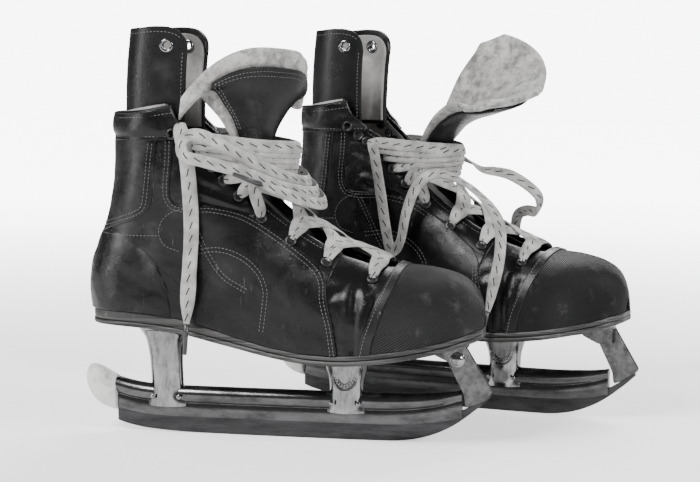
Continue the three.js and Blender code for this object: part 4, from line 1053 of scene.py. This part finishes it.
COUNTER_FRONT = through([(90, 77), (112, 75), (126, 70), (140, 60), (151, 46)])
COUNTER_TOP = through([(8, 156), (24, 155), (38, 152), (52, 145), (64, 134), (72, 120), (77, 104)])
for foot in FEET:
    t, turn = round_the_back(COUNTER_FRONT, sole_line, COUNTER_TOP, 34, 91)
    leather_sheet("heel_cup", foot, t, turn, 2.5, 2.2, heel_leather, wrinkle=0.8, seed=51, soft=0.7,
                  nodes=["heel_counter"], slot="black_leather")

# ------------------------------------------------------------------------------ backstay
# The panel over the tendon, with rounded lower corners, double-stitched to the quarters.
STAY_FRONT = through([(146, 50), (158, 57), (168, 62.5), (180, 65), (214, 68), (226, 69)])
STAY_LOW = through([(8, 146), (22, 151), (40, 158), (54, 163), (62, 170), (68, 182)])
STAY_HIGH = through([(0, 225), (80, 225)])
for foot in FEET:
    t, turn = round_the_back(STAY_FRONT, STAY_LOW, STAY_HIGH, 30, 71)
    leather_sheet("backstay_panel", foot, t, turn, 2.9, 2.2, quarter_leather, wrinkle=0.5, seed=61,
                  soft=0.5,
                  nodes=["backstay"], slot="black_leather")

# ------------------------------------------------------------------------------ collar
# A folded band of softer leather round the top, bound along its upper edge.
COLLAR_FRONT = through([(218, 98.5), (226, 90.3), (233, 83), (243, 78.5)])
COLLAR_LOW = through([(0, 217.5), (60, 219.5), (100, 219.5)])
COLLAR_HIGH = through([(20, 237.5), (45, 238.5), (60, 240), (78, 243.2), (100, 243.5)])


def collar_roll(points):
    middle = (points[..., 2] - 229) / 8
    return 1.3 * np.exp(-(middle**2)) - 0.7 * np.exp(-(((points[..., 2] - 222) / 2.2) ** 2))


for foot in FEET:
    t, turn = round_the_back(COLLAR_FRONT, COLLAR_LOW, COLLAR_HIGH, 26, 101)
    leather_sheet("collar_band", foot, t, turn, 3.3, 3.4, black_leather, wrinkle=0.7, seed=71,
                  dent=collar_roll,
                  soft=0.6, nodes=["collar"], slot="black_leather")
    bind = []
    for i in range(t.shape[0]):
        middle = (boot_skin(t[i, -1], turn[i, -1], 3.3) + boot_skin(t[i, -1], turn[i, -1], -2.4)) / 2
        out = boot_skin(t[i, -1], turn[i, -1], 1.0) - boot_skin(t[i, -1], turn[i, -1], 0.0)
        bind.append([middle + out * 3.4 * math.cos(a) + np.array([0, 0, 0.2 + 1.5 * math.sin(a)])
                     for a in np.linspace(0, 2 * math.pi, 12, endpoint=False)])
    piece("cuff_binding", foot, *loft(bind), black_leather, slot="black_leather")

# ------------------------------------------------------------------------------ stitching
# Waxed thread, a double row on the main seams and single rows along the edges. The quarters also
# carry two rows in an arch over the waist, which hold a stiffener inside.
thread, tree, shader, place = finish("thread", (0.16, 0.158, 0.155), 0.7)
bumped(tree, shader, cloud(tree, place, 2500.0), 0.5, 0.0002)

stitch_tree, given, out = geometry_tree("stitch_rows", "Pitch", "Length", "Thickness")
line = node(stitch_tree, "GeometryNodeMeshToCurve", {"Mesh": given.outputs["Geometry"]})
paced = node(stitch_tree, "GeometryNodeResampleCurve", {
    "Curve": line.outputs["Curve"], "Length": given.outputs["Pitch"]}, mode="LENGTH")
tangent = node(stitch_tree, "GeometryNodeInputTangent")
bead = node(stitch_tree, "GeometryNodeMeshUVSphere", {"Segments": 6, "Rings": 4, "Radius": 0.5})
size = node(stitch_tree, "ShaderNodeCombineXYZ", {
    "X": given.outputs["Length"], "Y": given.outputs["Thickness"], "Z": given.outputs["Thickness"]})
beads = node(stitch_tree, "GeometryNodeInstanceOnPoints", {
    "Points": paced.outputs["Curve"], "Instance": bead.outputs["Mesh"],
    "Rotation": facing_rotation(stitch_tree, tangent.outputs["Tangent"]), "Scale": size.outputs["Vector"]})
close_tree(stitch_tree, given, out, beads.outputs["Instances"])


def beside(line_points, distance):
    """A side-view line a distance to its left."""
    line_points = spline(line_points, 80)
    ahead = np.gradient(line_points, axis=0)
    ahead /= np.linalg.norm(ahead, axis=1)[:, None]
    return line_points + np.column_stack([-ahead[:, 1], ahead[:, 0]]) * distance


def on_leather(places, lift):
    """A stitch row over the form, with the direction that the leather faces."""
    low, high = boot_skin(places[:, 0], places[:, 1], lift), boot_skin(places[:, 0], places[:, 1], lift + 1)
    return low, high - low


STAY_EDGE = [(68, 216), (64, 180), (61, 169), (54, 163.5), (40, 158), (24, 152)]
ARCH_LOW = [(93, 168), (99, 155), (107, 138), (118, 123), (134, 114)]
ARCH_HIGH = [(95, 141), (114, 143), (131, 137.5), (144, 127), (150, 114), (149, 99), (147, 84)]
ARCH_BACK = [(90, 171), (80, 168.5), (72, 162), (69, 153), (73, 144), (83, 140)]
BOOT_ROWS = [(beside(line_points, 0), shift, lift) for line_points, shifts, lift in (
    (QUARTER_SEAM, (-2.0, -4.6), 2.15), (STAY_EDGE, (-2.4, -5.0), 3.15), (ARCH_LOW, (0, -3), 2.1),
    (ARCH_HIGH, (0, -3), 2.1), (ARCH_BACK, (0,), 2.1)) for shift in shifts]
BOOT_ROWS += [
    (np.array([(20, 150), (40, 150.5), (67, 151)], float), 0, 2.6),
    (np.array([(34, 221.5), (60, 222), (92, 221.5)], float), 0, 3.1),
    (np.array([(36, 235), (60, 236.5), (78, 239)], float), 0, 3.9),
]
STITCH = {"Pitch": 0.0027, "Length": 0.0021, "Thickness": 0.00055, "Finish": thread}
for foot in FEET:
    rows = []
    for side in (-1, 1):
        for line_points, shift, lift in BOOT_ROWS:
            rows.append(on_leather(on_form(beside(line_points, shift), side), lift))
        t = np.linspace(17.9, 7.4, 160)
        rows.append(on_leather(np.column_stack([t, side * throat_turn(t, 3.0)]), 1.0))
    turns = np.linspace(-math.pi, math.pi, 120)
    rows.append(on_leather(np.column_stack([toe_seam_t(turns) + 0.12, turns]), 1.5))
    repeated("stitching", foot, stitch_tree, rows, STITCH)

# ------------------------------------------------------------------------------ eyelets
# Black enamelled brass eyelets, eleven a side, clinched through the facing. Their rims are worn
# bright. The top two rows are open right through; in each of the nine below them a near-black disc is
# painted shade for the dark inside the hole.
eyelet_metal = worn_metal("eyelet_metal", (0.012, 0.012, 0.012), (0.1, 0.1, 0.1), 0.3, (60, 60, 60), 0.1,
                          60)
# A near-black finish for the discs in the lower eyelets: painted shade, not a hole.
eyelet_shade_disc, tree, shader, place = finish("eyelet_shade_disc", (0.003, 0.003, 0.003), 0.8)
bumped(tree, shader, cloud(tree, place, 800.0), 0.2, 0.0002)

ring_tree, given, out = geometry_tree("eyelet_rings", "Radius", "Rim")
hoop = node(ring_tree, "GeometryNodeCurvePrimitiveCircle",
            {"Resolution": 28, "Radius": given.outputs["Radius"]})
rim = node(ring_tree, "GeometryNodeCurvePrimitiveCircle", {"Resolution": 8, "Radius": given.outputs["Rim"]})
swept = node(ring_tree, "GeometryNodeCurveToMesh",
             {"Curve": hoop.outputs["Curve"], "Profile Curve": rim.outputs["Curve"]})
rings = node(ring_tree, "GeometryNodeInstanceOnPoints", {
    "Points": given.outputs["Geometry"], "Instance": swept.outputs["Mesh"],
    "Rotation": facing_rotation(ring_tree)})
close_tree(ring_tree, given, out, rings.outputs["Instances"])

EYELET_ROWS = 11
EYELET_IN = 9.0
SHADE_DISC_ROWS = 9
PUNCHED_FROM = 8


def eyelet_t(row):
    return 5.9 + (17.4 - 5.9) * (row / (EYELET_ROWS - 1)) ** 0.85


for foot in FEET:
    t = np.array([eyelet_t(row) for row in range(EYELET_ROWS)])
    rows, holes = [], []
    for side in (-1, 1):
        lifts = np.where(t > 16.6, 4.4, np.where(t > 7.2, 1.5, 1.0))
        places = boot_skin(t, side * throat_turn(t, EYELET_IN), lifts)
        out_ward = boot_skin(t, side * throat_turn(t, EYELET_IN), lifts + 1) - places
        rows.append((places, out_ward))
        # Each eyelet gets a near-black disc just under its ring, painted shade for the dark inside the
        # hole.
        holes.append((places - 0.2 * out_ward, out_ward))
        back = boot_skin(t[PUNCHED_FROM:], side * throat_turn(t[PUNCHED_FROM:], EYELET_IN), -4.1)
        rows.append((back, -out_ward[PUNCHED_FROM:]))
    repeated("eyelets", foot, ring_tree, rows, {"Radius": 0.0033, "Rim": 0.0009, "Finish": eyelet_metal},
             joined=False)
    repeated("eyelet_shade_discs", foot, rivet_tree, [(p[:SHADE_DISC_ROWS], o[:SHADE_DISC_ROWS]) for p, o in holes],
             {"Radius": 0.0028, "Height": 0.0004, "Finish": eyelet_shade_disc}, joined=False)


def punched(thing, foot, centres, directions, radius):
    """Cuts round holes through a sheet, each along its own direction."""
    cutters = bmesh.new()
    for centre, direction in zip(to_row(centres, foot), to_row(np.array(centres) + directions, foot)):
        way = Vector(direction - centre).normalized()
        turned = way.to_track_quat("Z", "Y").to_matrix().to_4x4()
        turned.translation = Vector(centre)
        bmesh.ops.create_cone(cutters, cap_ends=True, segments=20, radius1=radius, radius2=radius,
                              depth=0.016, matrix=turned)
    mesh = bpy.data.meshes.new("punch")
    cutters.to_mesh(mesh)
    cutters.free()
    punch = bpy.data.objects.new("punch", mesh)
    bpy.context.scene.collection.objects.link(punch)
    modifier = thing.modifiers.new("punch", "BOOLEAN")
    modifier.object = punch
    modifier.operation = "DIFFERENCE"
    modifier.solver = "EXACT"
    made = bpy.data.meshes.new_from_object(thing.evaluated_get(bpy.context.evaluated_depsgraph_get()))
    thing.modifiers.clear()
    thing.data = made
    bpy.data.objects.remove(punch)


for foot in FEET:
    t = np.array([eyelet_t(row) for row in range(PUNCHED_FROM, EYELET_ROWS)])
    for side, half in ((-1, "outer"), (1, "inner")):
        centres = boot_skin(t, side * throat_turn(t, EYELET_IN), 0.0)
        directions = boot_skin(t, side * throat_turn(t, EYELET_IN), 1.0) - centres
        for sheet in (f"{foot}_facing_sheet_{half}", f"{foot}_lining_{half}", f"{foot}_collar_band"):
            punched(bpy.data.objects[sheet], foot, centres, directions, 0.0027)

# ------------------------------------------------------------------------------ tendon guard
# A tall trough of leather over a plastic core, sewn inside the back of the collar. Each wing has a
# chromed grommet near its top, and a moulded pad is pressed into the pale lining.
GUARD_BACK = through([(215, 36.8), (240, 36.4), (270, 37.6), (301, 41)])
GUARD_HALF = through([(215, 27.6), (240, 28.3), (301, 31.2)])
GUARD_HEAD, GUARD_FOOT = 301.0, 224.0
GUARD_EDGE = through([(0, -2), (0.5, -1), (0.75, 0), (0.86, -2), (0.93, -6), (0.975, -11), (1, -18)])
guard_leather = worn_leather("guard_leather", (0.0035, 0.0035, 0.0037), (0.12, 0.118, 0.116), 0.3, 0.3,
                             0.25)


def guard_point(share, z, inset):
    """A place on the guard: share runs from the outer wing (-1) by the back to the inner wing (1)."""
    angle = share * math.radians(118)
    c, s = np.cos(angle), np.sin(angle)
    x = GUARD_BACK(z) + 30 - (30 - inset) * np.sign(c) * np.abs(c) ** 0.8 * np.where(c < 0, 1.25, 1)
    return np.stack([x, (GUARD_HALF(z) - inset) * np.sign(s) * np.abs(s) ** 0.7, z], -1)


def guard_sheet(near, far, foot_z, head_drop, soft, bulge=None):
    share = (np.sin(np.linspace(-1, 1, 81) * math.pi / 2 * 0.82) / math.sin(math.pi / 2 * 0.82))[None, :]
    up = edged(40, 0.008)[:, None]
    z = foot_z + (GUARD_HEAD - head_drop + GUARD_EDGE(np.abs(share)) - foot_z) * up
    share = share + 0 * up
    rim = rim_of(z.shape)
    push = 0 if bulge is None else bulge(share, z)
    base = guard_point(share, z, near)
    wave = rumple(base, 16.0, 0.35, 81)
    outer = guard_point(share, z, near + rim * soft + wave * 0.3 - 0.1)
    inner = guard_point(share, z, far - rim * soft + push)
    return outer, inner


def guard_pad(share, z):
    """The moulded pad: a long raised oval in each wing, pressed from the lining."""
    across = (np.abs(share) - 0.66) / 0.2
    tall = (z - 252) / 27
    spine = 0.9 * np.exp(-((share / 0.3) ** 4)) * np.clip(1 - ((z - 262) / 32) ** 4, 0, 1)
    return 1.6 * np.clip(1 - across**4 - tall**4, 0, 1) ** 0.5 + spine


GROMMET_SHARE, GROMMET_Z = 0.8, 287.0
for foot in FEET:
    outer, inner = guard_sheet(0, 3, GUARD_FOOT, 0, 0.5)
    shell = piece("guard_shell", foot, *slab(outer, inner), guard_leather, body="guard",
                  nodes=["tendon_guard"],
                  slot="black_leather", uv=lengths(outer))
    outer, inner = guard_sheet(3.3, 5.2, GUARD_FOOT + 3, 4.5, 0.4, guard_pad)
    lining = piece("guard_pad", foot, *slab(outer, inner), lining_leather, body="guard",
                   nodes=["guard_lining"],
                   slot="lining_leather", uv=lengths(outer))
    share = np.array([-GROMMET_SHARE, GROMMET_SHARE])
    z = np.array([GROMMET_Z, GROMMET_Z])
    outside, inside = guard_point(share, z, -0.2), guard_point(share, z, 6.2)
    way = outside - inside
    way /= np.linalg.norm(way, axis=1)[:, None]
    for sheet in (shell, lining):
        punched(sheet, foot, (outside + inside) / 2, way, 0.0029)
    repeated("grommets", foot, ring_tree, [(outside, way), (inside + 0.6 * way, -way)],
             {"Radius": 0.0039, "Rim": 0.0012, "Finish": chromed_steel}, body="guard", joined=False)
    rows = []
    for inset in (-0.35, 5.1):
        up = np.linspace(GUARD_FOOT + 8, GUARD_HEAD - 20, 60)
        for edge in (-0.945, 0.945):
            low = guard_point(np.full(60, edge), up, inset)
            rows.append((low, low - guard_point(np.full(60, edge), up, inset + 1)))
        around = np.linspace(-0.9, 0.9, 90)
        top = GUARD_HEAD + GUARD_EDGE(np.abs(around)) - (4.0 if inset < 0 else 8.5)
        low = guard_point(around, top, inset)
        rows.append((low, low - guard_point(around, top, inset + 1)))
    repeated("guard_stitching", foot, stitch_tree, rows, STITCH, body="guard")

# ------------------------------------------------------------------------------ tongue
# Leather over thick pressed felt, with a stitched rim. Its foot is sewn in under the laces, the neck
# bends and the flap stands up; the far one has flopped forward and shows its felt.
TONGUE_RIDGE = {
    "right": [(146, 189), (144, 205), (144, 222), (147, 240), (150, 256), (152, 271)],
    "left": [(146, 189), (150, 204), (160, 219), (177, 233), (200, 244), (220, 252)],
}
TONGUE_LENGTH = 95.0
TONGUE_TURN = math.radians(30)
TONGUE_WIDTH = through([(0, 27), (0.2, 25), (0.45, 33), (0.65, 47), (0.85, 54), (1, 55)])
TONGUE_BEND = through([(0, 1.1), (0.4, 1.05), (1, 0.72)])
TONGUE_LEATHER = 2.4
FELT_BRIM = 0.14
FELT_REAR = {"right": 0.14, "left": 0.0}
FELT_STARTS = {"right": (0.25, 0.6), "left": (0.0, 0.3)}
tongue_leather = worn_leather("tongue_leather", (0.0035, 0.0035, 0.0037), (0.16, 0.158, 0.155), 0.3, 0.35,
                              0.25)
tongue_felt, tree, shader, place = finish("tongue_felt", (0.6, 0.59, 0.575), 0.95)
tufts = cloud(tree, place, 120.0, 5.0, 0.65)
fibres = cloud(tree, stretched(tree, place, (900, 900, 500)), 1.0, 3.0, 0.7)
mottled = mixed(tree, band(tree, tufts, 0.36, 0.62), (0.2, 0.196, 0.19), (0.56, 0.55, 0.535))
tree.links.new(mixed(tree, band(tree, fibres, 0.52, 0.72, 0.0, 0.6), mottled, (0.15, 0.147, 0.143)),
               shader.inputs["Base Color"])
shader.inputs["Sheen Weight"].default_value = 0.35
felt_lumps = node(tree, "ShaderNodeBump", {"Height": tufts, "Strength": 0.7, "Distance": 0.0015})
bumped(tree, shader, fibres, 0.6, 0.0004, felt_lumps.outputs["Normal"])


def tongue_point(foot, u, v, depth):
    """A place on the tongue: u from its neck to its head, v across it, depth in from its front."""
    line = [through([(k / 5, row[axis]) for k, row in enumerate(TONGUE_RIDGE[foot])]) for axis in (0, 1)]
    held = np.clip(u, 0, 1)
    low, high = np.clip(held - 0.04, 0, 1), np.clip(held + 0.04, 0, 1)
    hx, hz = line[0](high) - line[0](low), line[1](high) - line[1](low)
    hx, hz = hx / np.hypot(hx, hz), hz / np.hypot(hx, hz)
    over = np.clip(u - 1, 0, None) * TONGUE_LENGTH
    turn = TONGUE_TURN * smooth(u, 0.1, 0.8)
    across = np.stack([hz * np.sin(turn), np.cos(turn) + 0 * hx, -hx * np.sin(turn)], -1)
    inward = np.stack([-hz * np.cos(turn), np.sin(turn) + 0 * hx, hx * np.cos(turn)], -1)
    heading = np.stack([hx, 0 * hx, hz], -1)
    ridge = np.stack([line[0](held), 0 * hx, line[1](held)], -1) + heading * over[..., None]
    bend = TONGUE_BEND(held)
    radius = TONGUE_WIDTH(held) / bend
    drop = 16 * np.abs(v) ** 3 * smooth(u, 0.6, 1)
    return (ridge + across * ((radius - depth) * np.sin(v * bend))[..., None]
            + inward * (radius - (radius - depth) * np.cos(v * bend))[..., None] - heading
            * drop[..., None])


for foot, slack in (("right", 0.6), ("left", 1.3)):
    t = np.linspace(11.2, 5.4, 60)[:, None]
    half = np.minimum(throat_turn(t, -9.0), 1.25)
    turn = half * (2 * edged(40)[None, :] - 1)
    leather_sheet("tongue_foot", foot, t + 0 * turn, turn, -5.0, 5.2, tongue_leather, wrinkle=0.5, seed=21,
                  nodes=["tongue_base"], slot="black_leather")

    u = edged(80, 0.01)[:, None]
    v = (2 * edged(70, 0.008) - 1)[None, :]
    u, v = u + 0 * v, v + 0 * u
    base = tongue_point(foot, u, v, 0)
    neck = 1 - smooth(u, 0.25, 0.7)
    waves = rumple(base, 11.0, 0.35 + 0.8 * slack * neck, 31) + rumple(base, 4.5, 0.12 + 0.3 * slack * neck,
                                                                       37)
    rim = rim_of(u.shape)
    outer = tongue_point(foot, u, v, rim * 0.7 - 0.2 + waves * 0.5)
    inner = tongue_point(foot, u, v, TONGUE_LEATHER - rim * 0.6)
    flap = piece("tongue_flap_leather", foot, *slab(outer, inner), tongue_leather, body=None,
                 nodes=["tongue_leather"],
                 slot="black_leather", uv=lengths(outer))
    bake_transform(flap)

    u = np.concatenate([np.linspace(0.03, 1.1, 84), [1.13, 1.145]])[:, None]
    brim = 1 + FELT_BRIM * (0.1 + 1.5 * smooth(u, *FELT_STARTS[foot]))
    v = brim * (2 * edged(80, 0.01) - 1)[None, :]
    v = v * (1 + FELT_REAR[foot] * smooth(-v, 0.6, 1.1))
    u = u + 0 * v
    base = tongue_point(foot, u, v, 0)
    lumps = rumple(base, 13.0, 1.0, 51) + rumple(base, 5.0, 0.7, 57)
    rim = rim_of(u.shape)
    beyond = np.maximum(smooth(np.abs(v), 1.0, 1.06), smooth(u, 1.0, 1.03))
    outer = tongue_point(foot, u, v, TONGUE_LEATHER + 0.3 + rim * 1.4 - beyond * (1.0 + 0.9 * lumps))
    inner = tongue_point(foot, u, v, 6.6 - rim * 1.4 + lumps * 0.8)
    felt = piece("tongue_flap_felt", foot, *slab(outer, inner), tongue_felt, body="tongue_flap",
                 nodes=["tongue_felt"],
                 slot="tongue_felt", uv=lengths(outer))

    rows = []
    for inset in (0.05, 0.1):
        up = np.linspace(0.44, 1 - 0.9 * inset, 60)
        across = np.linspace(-1 + inset, 1 - inset, 60)
        for path_u, path_v in ((up, np.full(60, -1 + inset)), (np.full(60, 1 - 0.9 * inset), across),
                               (up, np.full(60, 1 - inset))):
            low = tongue_point(foot, path_u, path_v, -0.3)
            rows.append((low, low - tongue_point(foot, path_u, path_v, 0.7)))
    repeated("tongue_stitching", foot, stitch_tree, rows, STITCH, body="tongue_flap")

# ------------------------------------------------------------------------------ lacing
# One flat woven cotton lace per skate, with a black tracer. It goes from eyelet to eyelet across the
# tongue, gathered where it passes through a hole and spread where it lies over the ridge.
lace_cotton, tree, shader, place = finish("lace_cotton", (0.6, 0.59, 0.57), 0.9)
split = node(tree, "ShaderNodeSeparateXYZ",
             {"Vector": node(tree, "ShaderNodeUVMap", uv_map="along").outputs["UV"]})
run, off_centre = split.outputs["X"], split.outputs["Y"]


WEAVE_PITCH = 0.0013
TRACER_PITCH = 0.0095
slant = calc(tree, "ADD", run, calc(tree, "ABSOLUTE", off_centre))
twill = calc(tree, "SINE", calc(tree, "MULTIPLY", slant, 2 * math.pi / WEAVE_PITCH))
cords = calc(tree, "SINE", calc(tree, "MULTIPLY", off_centre, 2 * math.pi / 0.0011))
weave = calc(tree, "ADD", twill, calc(tree, "MULTIPLY", cords, 0.6))
pace = calc(tree, "FRACT", calc(tree, "DIVIDE", run, TRACER_PITCH))
drift = calc(tree, "MULTIPLY", calc(tree, "SUBTRACT", pace, 0.3), 0.0035)
near_line = calc(tree, "LESS_THAN", calc(tree, "ABSOLUTE", calc(tree, "SUBTRACT", off_centre, drift)),
                 0.00048)
dash = calc(tree, "MULTIPLY", near_line, calc(tree, "LESS_THAN", pace, 0.58))
grime = cloud(tree, place, 90.0, 5.0, 0.6)
clean = mixed(tree, band(tree, grime, 0.38, 0.66), (0.34, 0.335, 0.325), (0.74, 0.73, 0.71))
# Where the weave sinks, the lace is painted darker: painted shade in the weave's grooves, laid over the
# real grime.
threads_and_painted_shade = mixed(tree, band(tree, weave, -1.3, 0.4), (0.26, 0.257, 0.25), clean)
tree.links.new(mixed(tree, dash, threads_and_painted_shade, (0.02, 0.02, 0.02)), shader.inputs["Base Color"])
bumped(tree, shader, weave, 0.5, 0.00025)
lace_tip, tree, shader, place = finish("lace_tip", (0.05, 0.05, 0.05), 0.28)
bumped(tree, shader, cloud(tree, place, 300.0), 0.15, 0.0004)

LACE_THICKNESS = 1.5
LACE_PROFILE = [(math.cos(k * math.pi / 6), math.sin(k * math.pi / 6)) for k in range(12)]


def ribbon(stations, step=1.6, seed=0):
    """A flat lace through stations of place, facing and width; also its centreline and its pattern."""
    stations = np.array(stations, float)
    reach = np.linalg.norm(np.diff(stations[:, :3], axis=0), axis=1).sum()
    line = spline(stations, max(12, int(reach / step)))
    middle, face, width = line[:, :3], line[:, 3:6], line[:, 6]
    tangent = np.gradient(middle, axis=0)
    across = np.cross(tangent, face)
    across /= np.linalg.norm(across, axis=1)[:, None]
    out_ward = np.cross(across, tangent)
    out_ward /= np.linalg.norm(out_ward, axis=1)[:, None]
    done = np.concatenate([[0], np.cumsum(np.linalg.norm(np.diff(middle, axis=0), axis=1))])
    wave = rumple(middle, 9.0, 0.5, seed)
    rings, pattern = [], []
    for k in range(len(line)):
        ring = []
        for c, s in LACE_PROFILE:
            wide = np.sign(c) * abs(c) ** 0.6
            high = np.sign(s) * abs(s) ** 0.8 * LACE_THICKNESS / 2 - 0.5 * wide**2 + wave[k] * wide
            ring.append(middle[k] + across[k] * wide * width[k] / 2 + out_ward[k] * high)
            pattern.append((done[k] / 1000, wide * width[k] / 2000))
        rings.append(ring)
    points, faces = loft(rings)
    pattern += [(0, 0), (done[-1] / 1000, 0)]
    return points, faces, middle, np.array(pattern)


def eyelet_place(row, side, lift):
    t = np.array([eyelet_t(row)])
    turn = side * throat_turn(t, EYELET_IN)
    low = boot_skin(t, turn, lift)[0]
    return low, boot_skin(t, turn, lift + 1)[0] - low


def lace_way(first, second, rise):
    """Stations of the lace from one eyelet over the ridge to another, each given as (row, side)."""
    stations = []
    for row, side in (first, second):
        t = eyelet_t(row)
        low, normal = eyelet_place(row, side, 0.4)
        above = t - 9.8
        part = [(*low, *normal, 4.6)]
        if above > 0:
            high = eyelet_place(row, side, 3.4)[0]
            flank = np.array([139.0, side * 29.4, 186.5 + 3.9 * above])
            part.append((*(high * 0.8 + flank * 0.2), *normal, 8.5))
            part.append((*flank, 0.75, side * 0.85, 0.2, 9.5))
        else:
            edge = boot_skin(np.array([t]), side * throat_turn(np.array([t]), 4.0), 3.3)[0]
            over = boot_skin(np.array([t]), side * throat_turn(np.array([t]), -2.0), 3.4)[0]
            part.append((*edge, *normal, 9.5))
            part.append((*over, *(normal * 0.6 + np.array([0.3, 0, 0.4])), 12.4))
        stations.append(part)
    middle_t = (eyelet_t(first[0]) + eyelet_t(second[0])) / 2
    above = middle_t - 9.8
    if above > 0:
        crest = (157.2 + 0.9 * above + rise, 0, 186.0 + 3.9 * above, 1, 0, 0.25, 9.0)
    else:
        base, up = boot_skin(np.array([middle_t, middle_t]), np.zeros(2),
                             np.array([2.6 + rise, 3.6 + rise]))
        crest = (*base, *(up - base), 12.4)
    return stations[0] + [crest] + stations[1][::-1]


LACED_ROWS = {"right": EYELET_ROWS, "left": EYELET_ROWS - 2}
for foot in FEET:
    points, faces, pattern = [], [], []
    ways = [((0, -1), (0, 1), 0.0)]
    for row in range(LACED_ROWS[foot] - 1):
        ways += [((row, -1), (row + 1, 1), 0.3), ((row, 1), (row + 1, -1), 1.9)]
    for k, way in enumerate(ways):
        strip, strip_faces, middle, strip_pattern = ribbon(lace_way(*way), seed=k)
        start = sum(len(p) for p in points)
        faces += [tuple(start + v for v in face) for face in strip_faces]
        points.append(strip)
        pattern.append(strip_pattern)
    piece("laced_ribbon", foot, np.vstack(points), faces, lace_cotton, nodes=["lacing"], slot="lace_cotton",
          uv=np.vstack(pattern))

# ------------------------------------------------------------------------------ loose lace ends
# The same lace beyond the laced rows: on the near skate one end hangs down the side and the other
# crosses the tongue's front three times; on the far skate both ends lie in loops over the front.
LACE_WIDTH = 11.0
GATHERED_WIDTH = 8.8
AGLET_LENGTH = 22.0
LOOSE_ENDS = {
    ("right", "outer", "hanging"): [
        (86, -39, 231, 0, -0.3, 1), (87.5, -43.5, 231.5, 0, -0.6, 0.8), (89, -46.5, 226, 0.1, -1, 0.2),
        (93, -46.5, 205, 0, -1, 0), (95, -45, 180, 0.3, -1, 0), (95, -43, 155, 0.1, -1, 0),
        (93.5, -43, 130, 0, -1, 0), (92, -44, 105, 0, -1, 0), (91, -44, 88, 0, -1, 0)],
    ("right", "inner", "loose"): [
        (84, 44, 227, 0.2, 1, 0.2), (104, 48, 216, 0.2, 1, 0.2), (130, 47, 204, 0.4, 1, 0.2),
        (156, 35, 195, 0.8, 0.7, 0.2), (170, 12, 190, 1, 0.2, 0.3), (170, -12, 190, 1, -0.2, 0.3),
        (156, -34, 197, 0.8, -0.7, 0.2), (132, -46, 210, 0.4, -1, 0.2), (113, -51, 221, 0.1, -1, 0.2),
        (101, -53, 225, -0.1, -1, 0.3), (92, -55, 220, -0.2, -1, 0.3), (94, -56, 210, -0.1, -1, 0.3),
        (108, -56, 206, 0.1, -1, 0.2), (134, -53, 199, 0.4, -1, 0.2),
        (160, -40, 188, 0.8, -0.7, 0.2), (175, -14, 182, 1, -0.3, 0.2), (176, 12, 182, 1, 0.2, 0.2),
        (162, 38, 188, 0.8, 0.7, 0.2), (140, 52, 198, 0.4, 1, 0.2), (126, 55, 202, 0, 1, 0.2),
        (118, 57, 196, -0.2, 1, 0.2), (122, 58, 187, 0, 1, 0.2), (140, 58, 184, 0.4, 1, 0.2),
        (165, 44, 180, 0.8, 0.7, 0.2), (181, 15, 174, 1, 0.2, 0.2),
        (181, -12, 174, 1, -0.2, 0.2), (166, -40, 182, 0.8, -0.7, 0.2), (149, -52, 190, 0.5, -1, 0.2)],
    ("left", "inner", "loose"): [
        (100, 42, 213, 0.3, 1, 0.1), (105, 46, 210, 0.1, 1, 0.5), (109, 48, 196, 0, 1, 0),
        (113, 47, 170, 0.1, 1, 0), (117, 46, 143, 0, 1, 0), (122, 47.5, 128, 0, 1, 0),
        (130, 50, 135, -0.3, 1, 0), (135, 48, 160, -0.1, 1, 0), (144, 44, 182, 0.1, 1, 0.2),
        (158, 36, 189, 0.6, 0.6, 0.6), (177, 26, 180, 0.6, 0.3, 0.8), (196, 28, 165, 0.5, 0.5, 0.8),
        (209, 40, 150, 0.3, 1, 0.5), (213, 52, 127, 0.1, 1, 0.1), (209, 55, 104, 0, 1, 0),
        (205, 55, 86, 0, 1, 0)],
    ("left", "outer", "loose"): [
        (100, -42, 213, 0.3, -1, 0.2), (114, -43, 208, 0.5, -0.8, 0.6), (132, -40, 203, 0.6, -0.8, 0.5),
        (151, -30, 198, 0.7, -0.5, 0.6), (169, -12, 194, 0.7, 0.2, 0.7), (184, 4, 191, 0.3, 0.7, 0.7),
        (206, 6, 187, 0.1, 0.9, 0.5), (225, -2, 172, 0.7, 0.7, 0.3), (222, -14, 158, 1, 0.1, -0.3),
        (208, -26, 157, 0.4, -0.8, 0.1), (196, -40, 152, 0, -1, 0.4), (189, -53, 138, 0, -1, 0.1),
        (187, -55, 114, 0, -1, 0), (186, -55, 92, 0, -1, 0)],
}
for (foot, half, lay), stations in LOOSE_ENDS.items():
    spread = GATHERED_WIDTH if lay == "loose" else LACE_WIDTH
    widths = [4.5, 8.0] + [spread] * (len(stations) - 3) + [4.2]
    points, faces, middle, pattern = ribbon([(*s, w) for s, w in zip(stations, widths)], seed=71)
    end = piece("loose_lace_" + half, foot, points, faces, lace_cotton, nodes=["lace_end_" + half],
                slot="lace_cotton", uv=pattern)
    heading = middle[-1] - middle[-2]
    heading /= np.linalg.norm(heading)
    side_way = np.cross(heading, (0.3, 0.5, 0.8))
    side_way /= np.linalg.norm(side_way)
    other_way = np.cross(heading, side_way)
    rings = []
    for along, radius in ((0.3, 1.2), (0.5, 2.0), (0.45 * AGLET_LENGTH, 1.8), (AGLET_LENGTH, 1.5),
                          (AGLET_LENGTH + 0.3, 1.0)):
        angles = np.linspace(0, 2 * math.pi, 20, endpoint=False)[:, None]
        rings.append(middle[-1] + heading * along + radius
                     * (np.cos(angles) * side_way + np.sin(angles) * other_way))
    tip = piece("lace_tag_" + half, foot, *loft(rings), lace_tip, nodes=["aglet_" + half], slot="lace_tip")
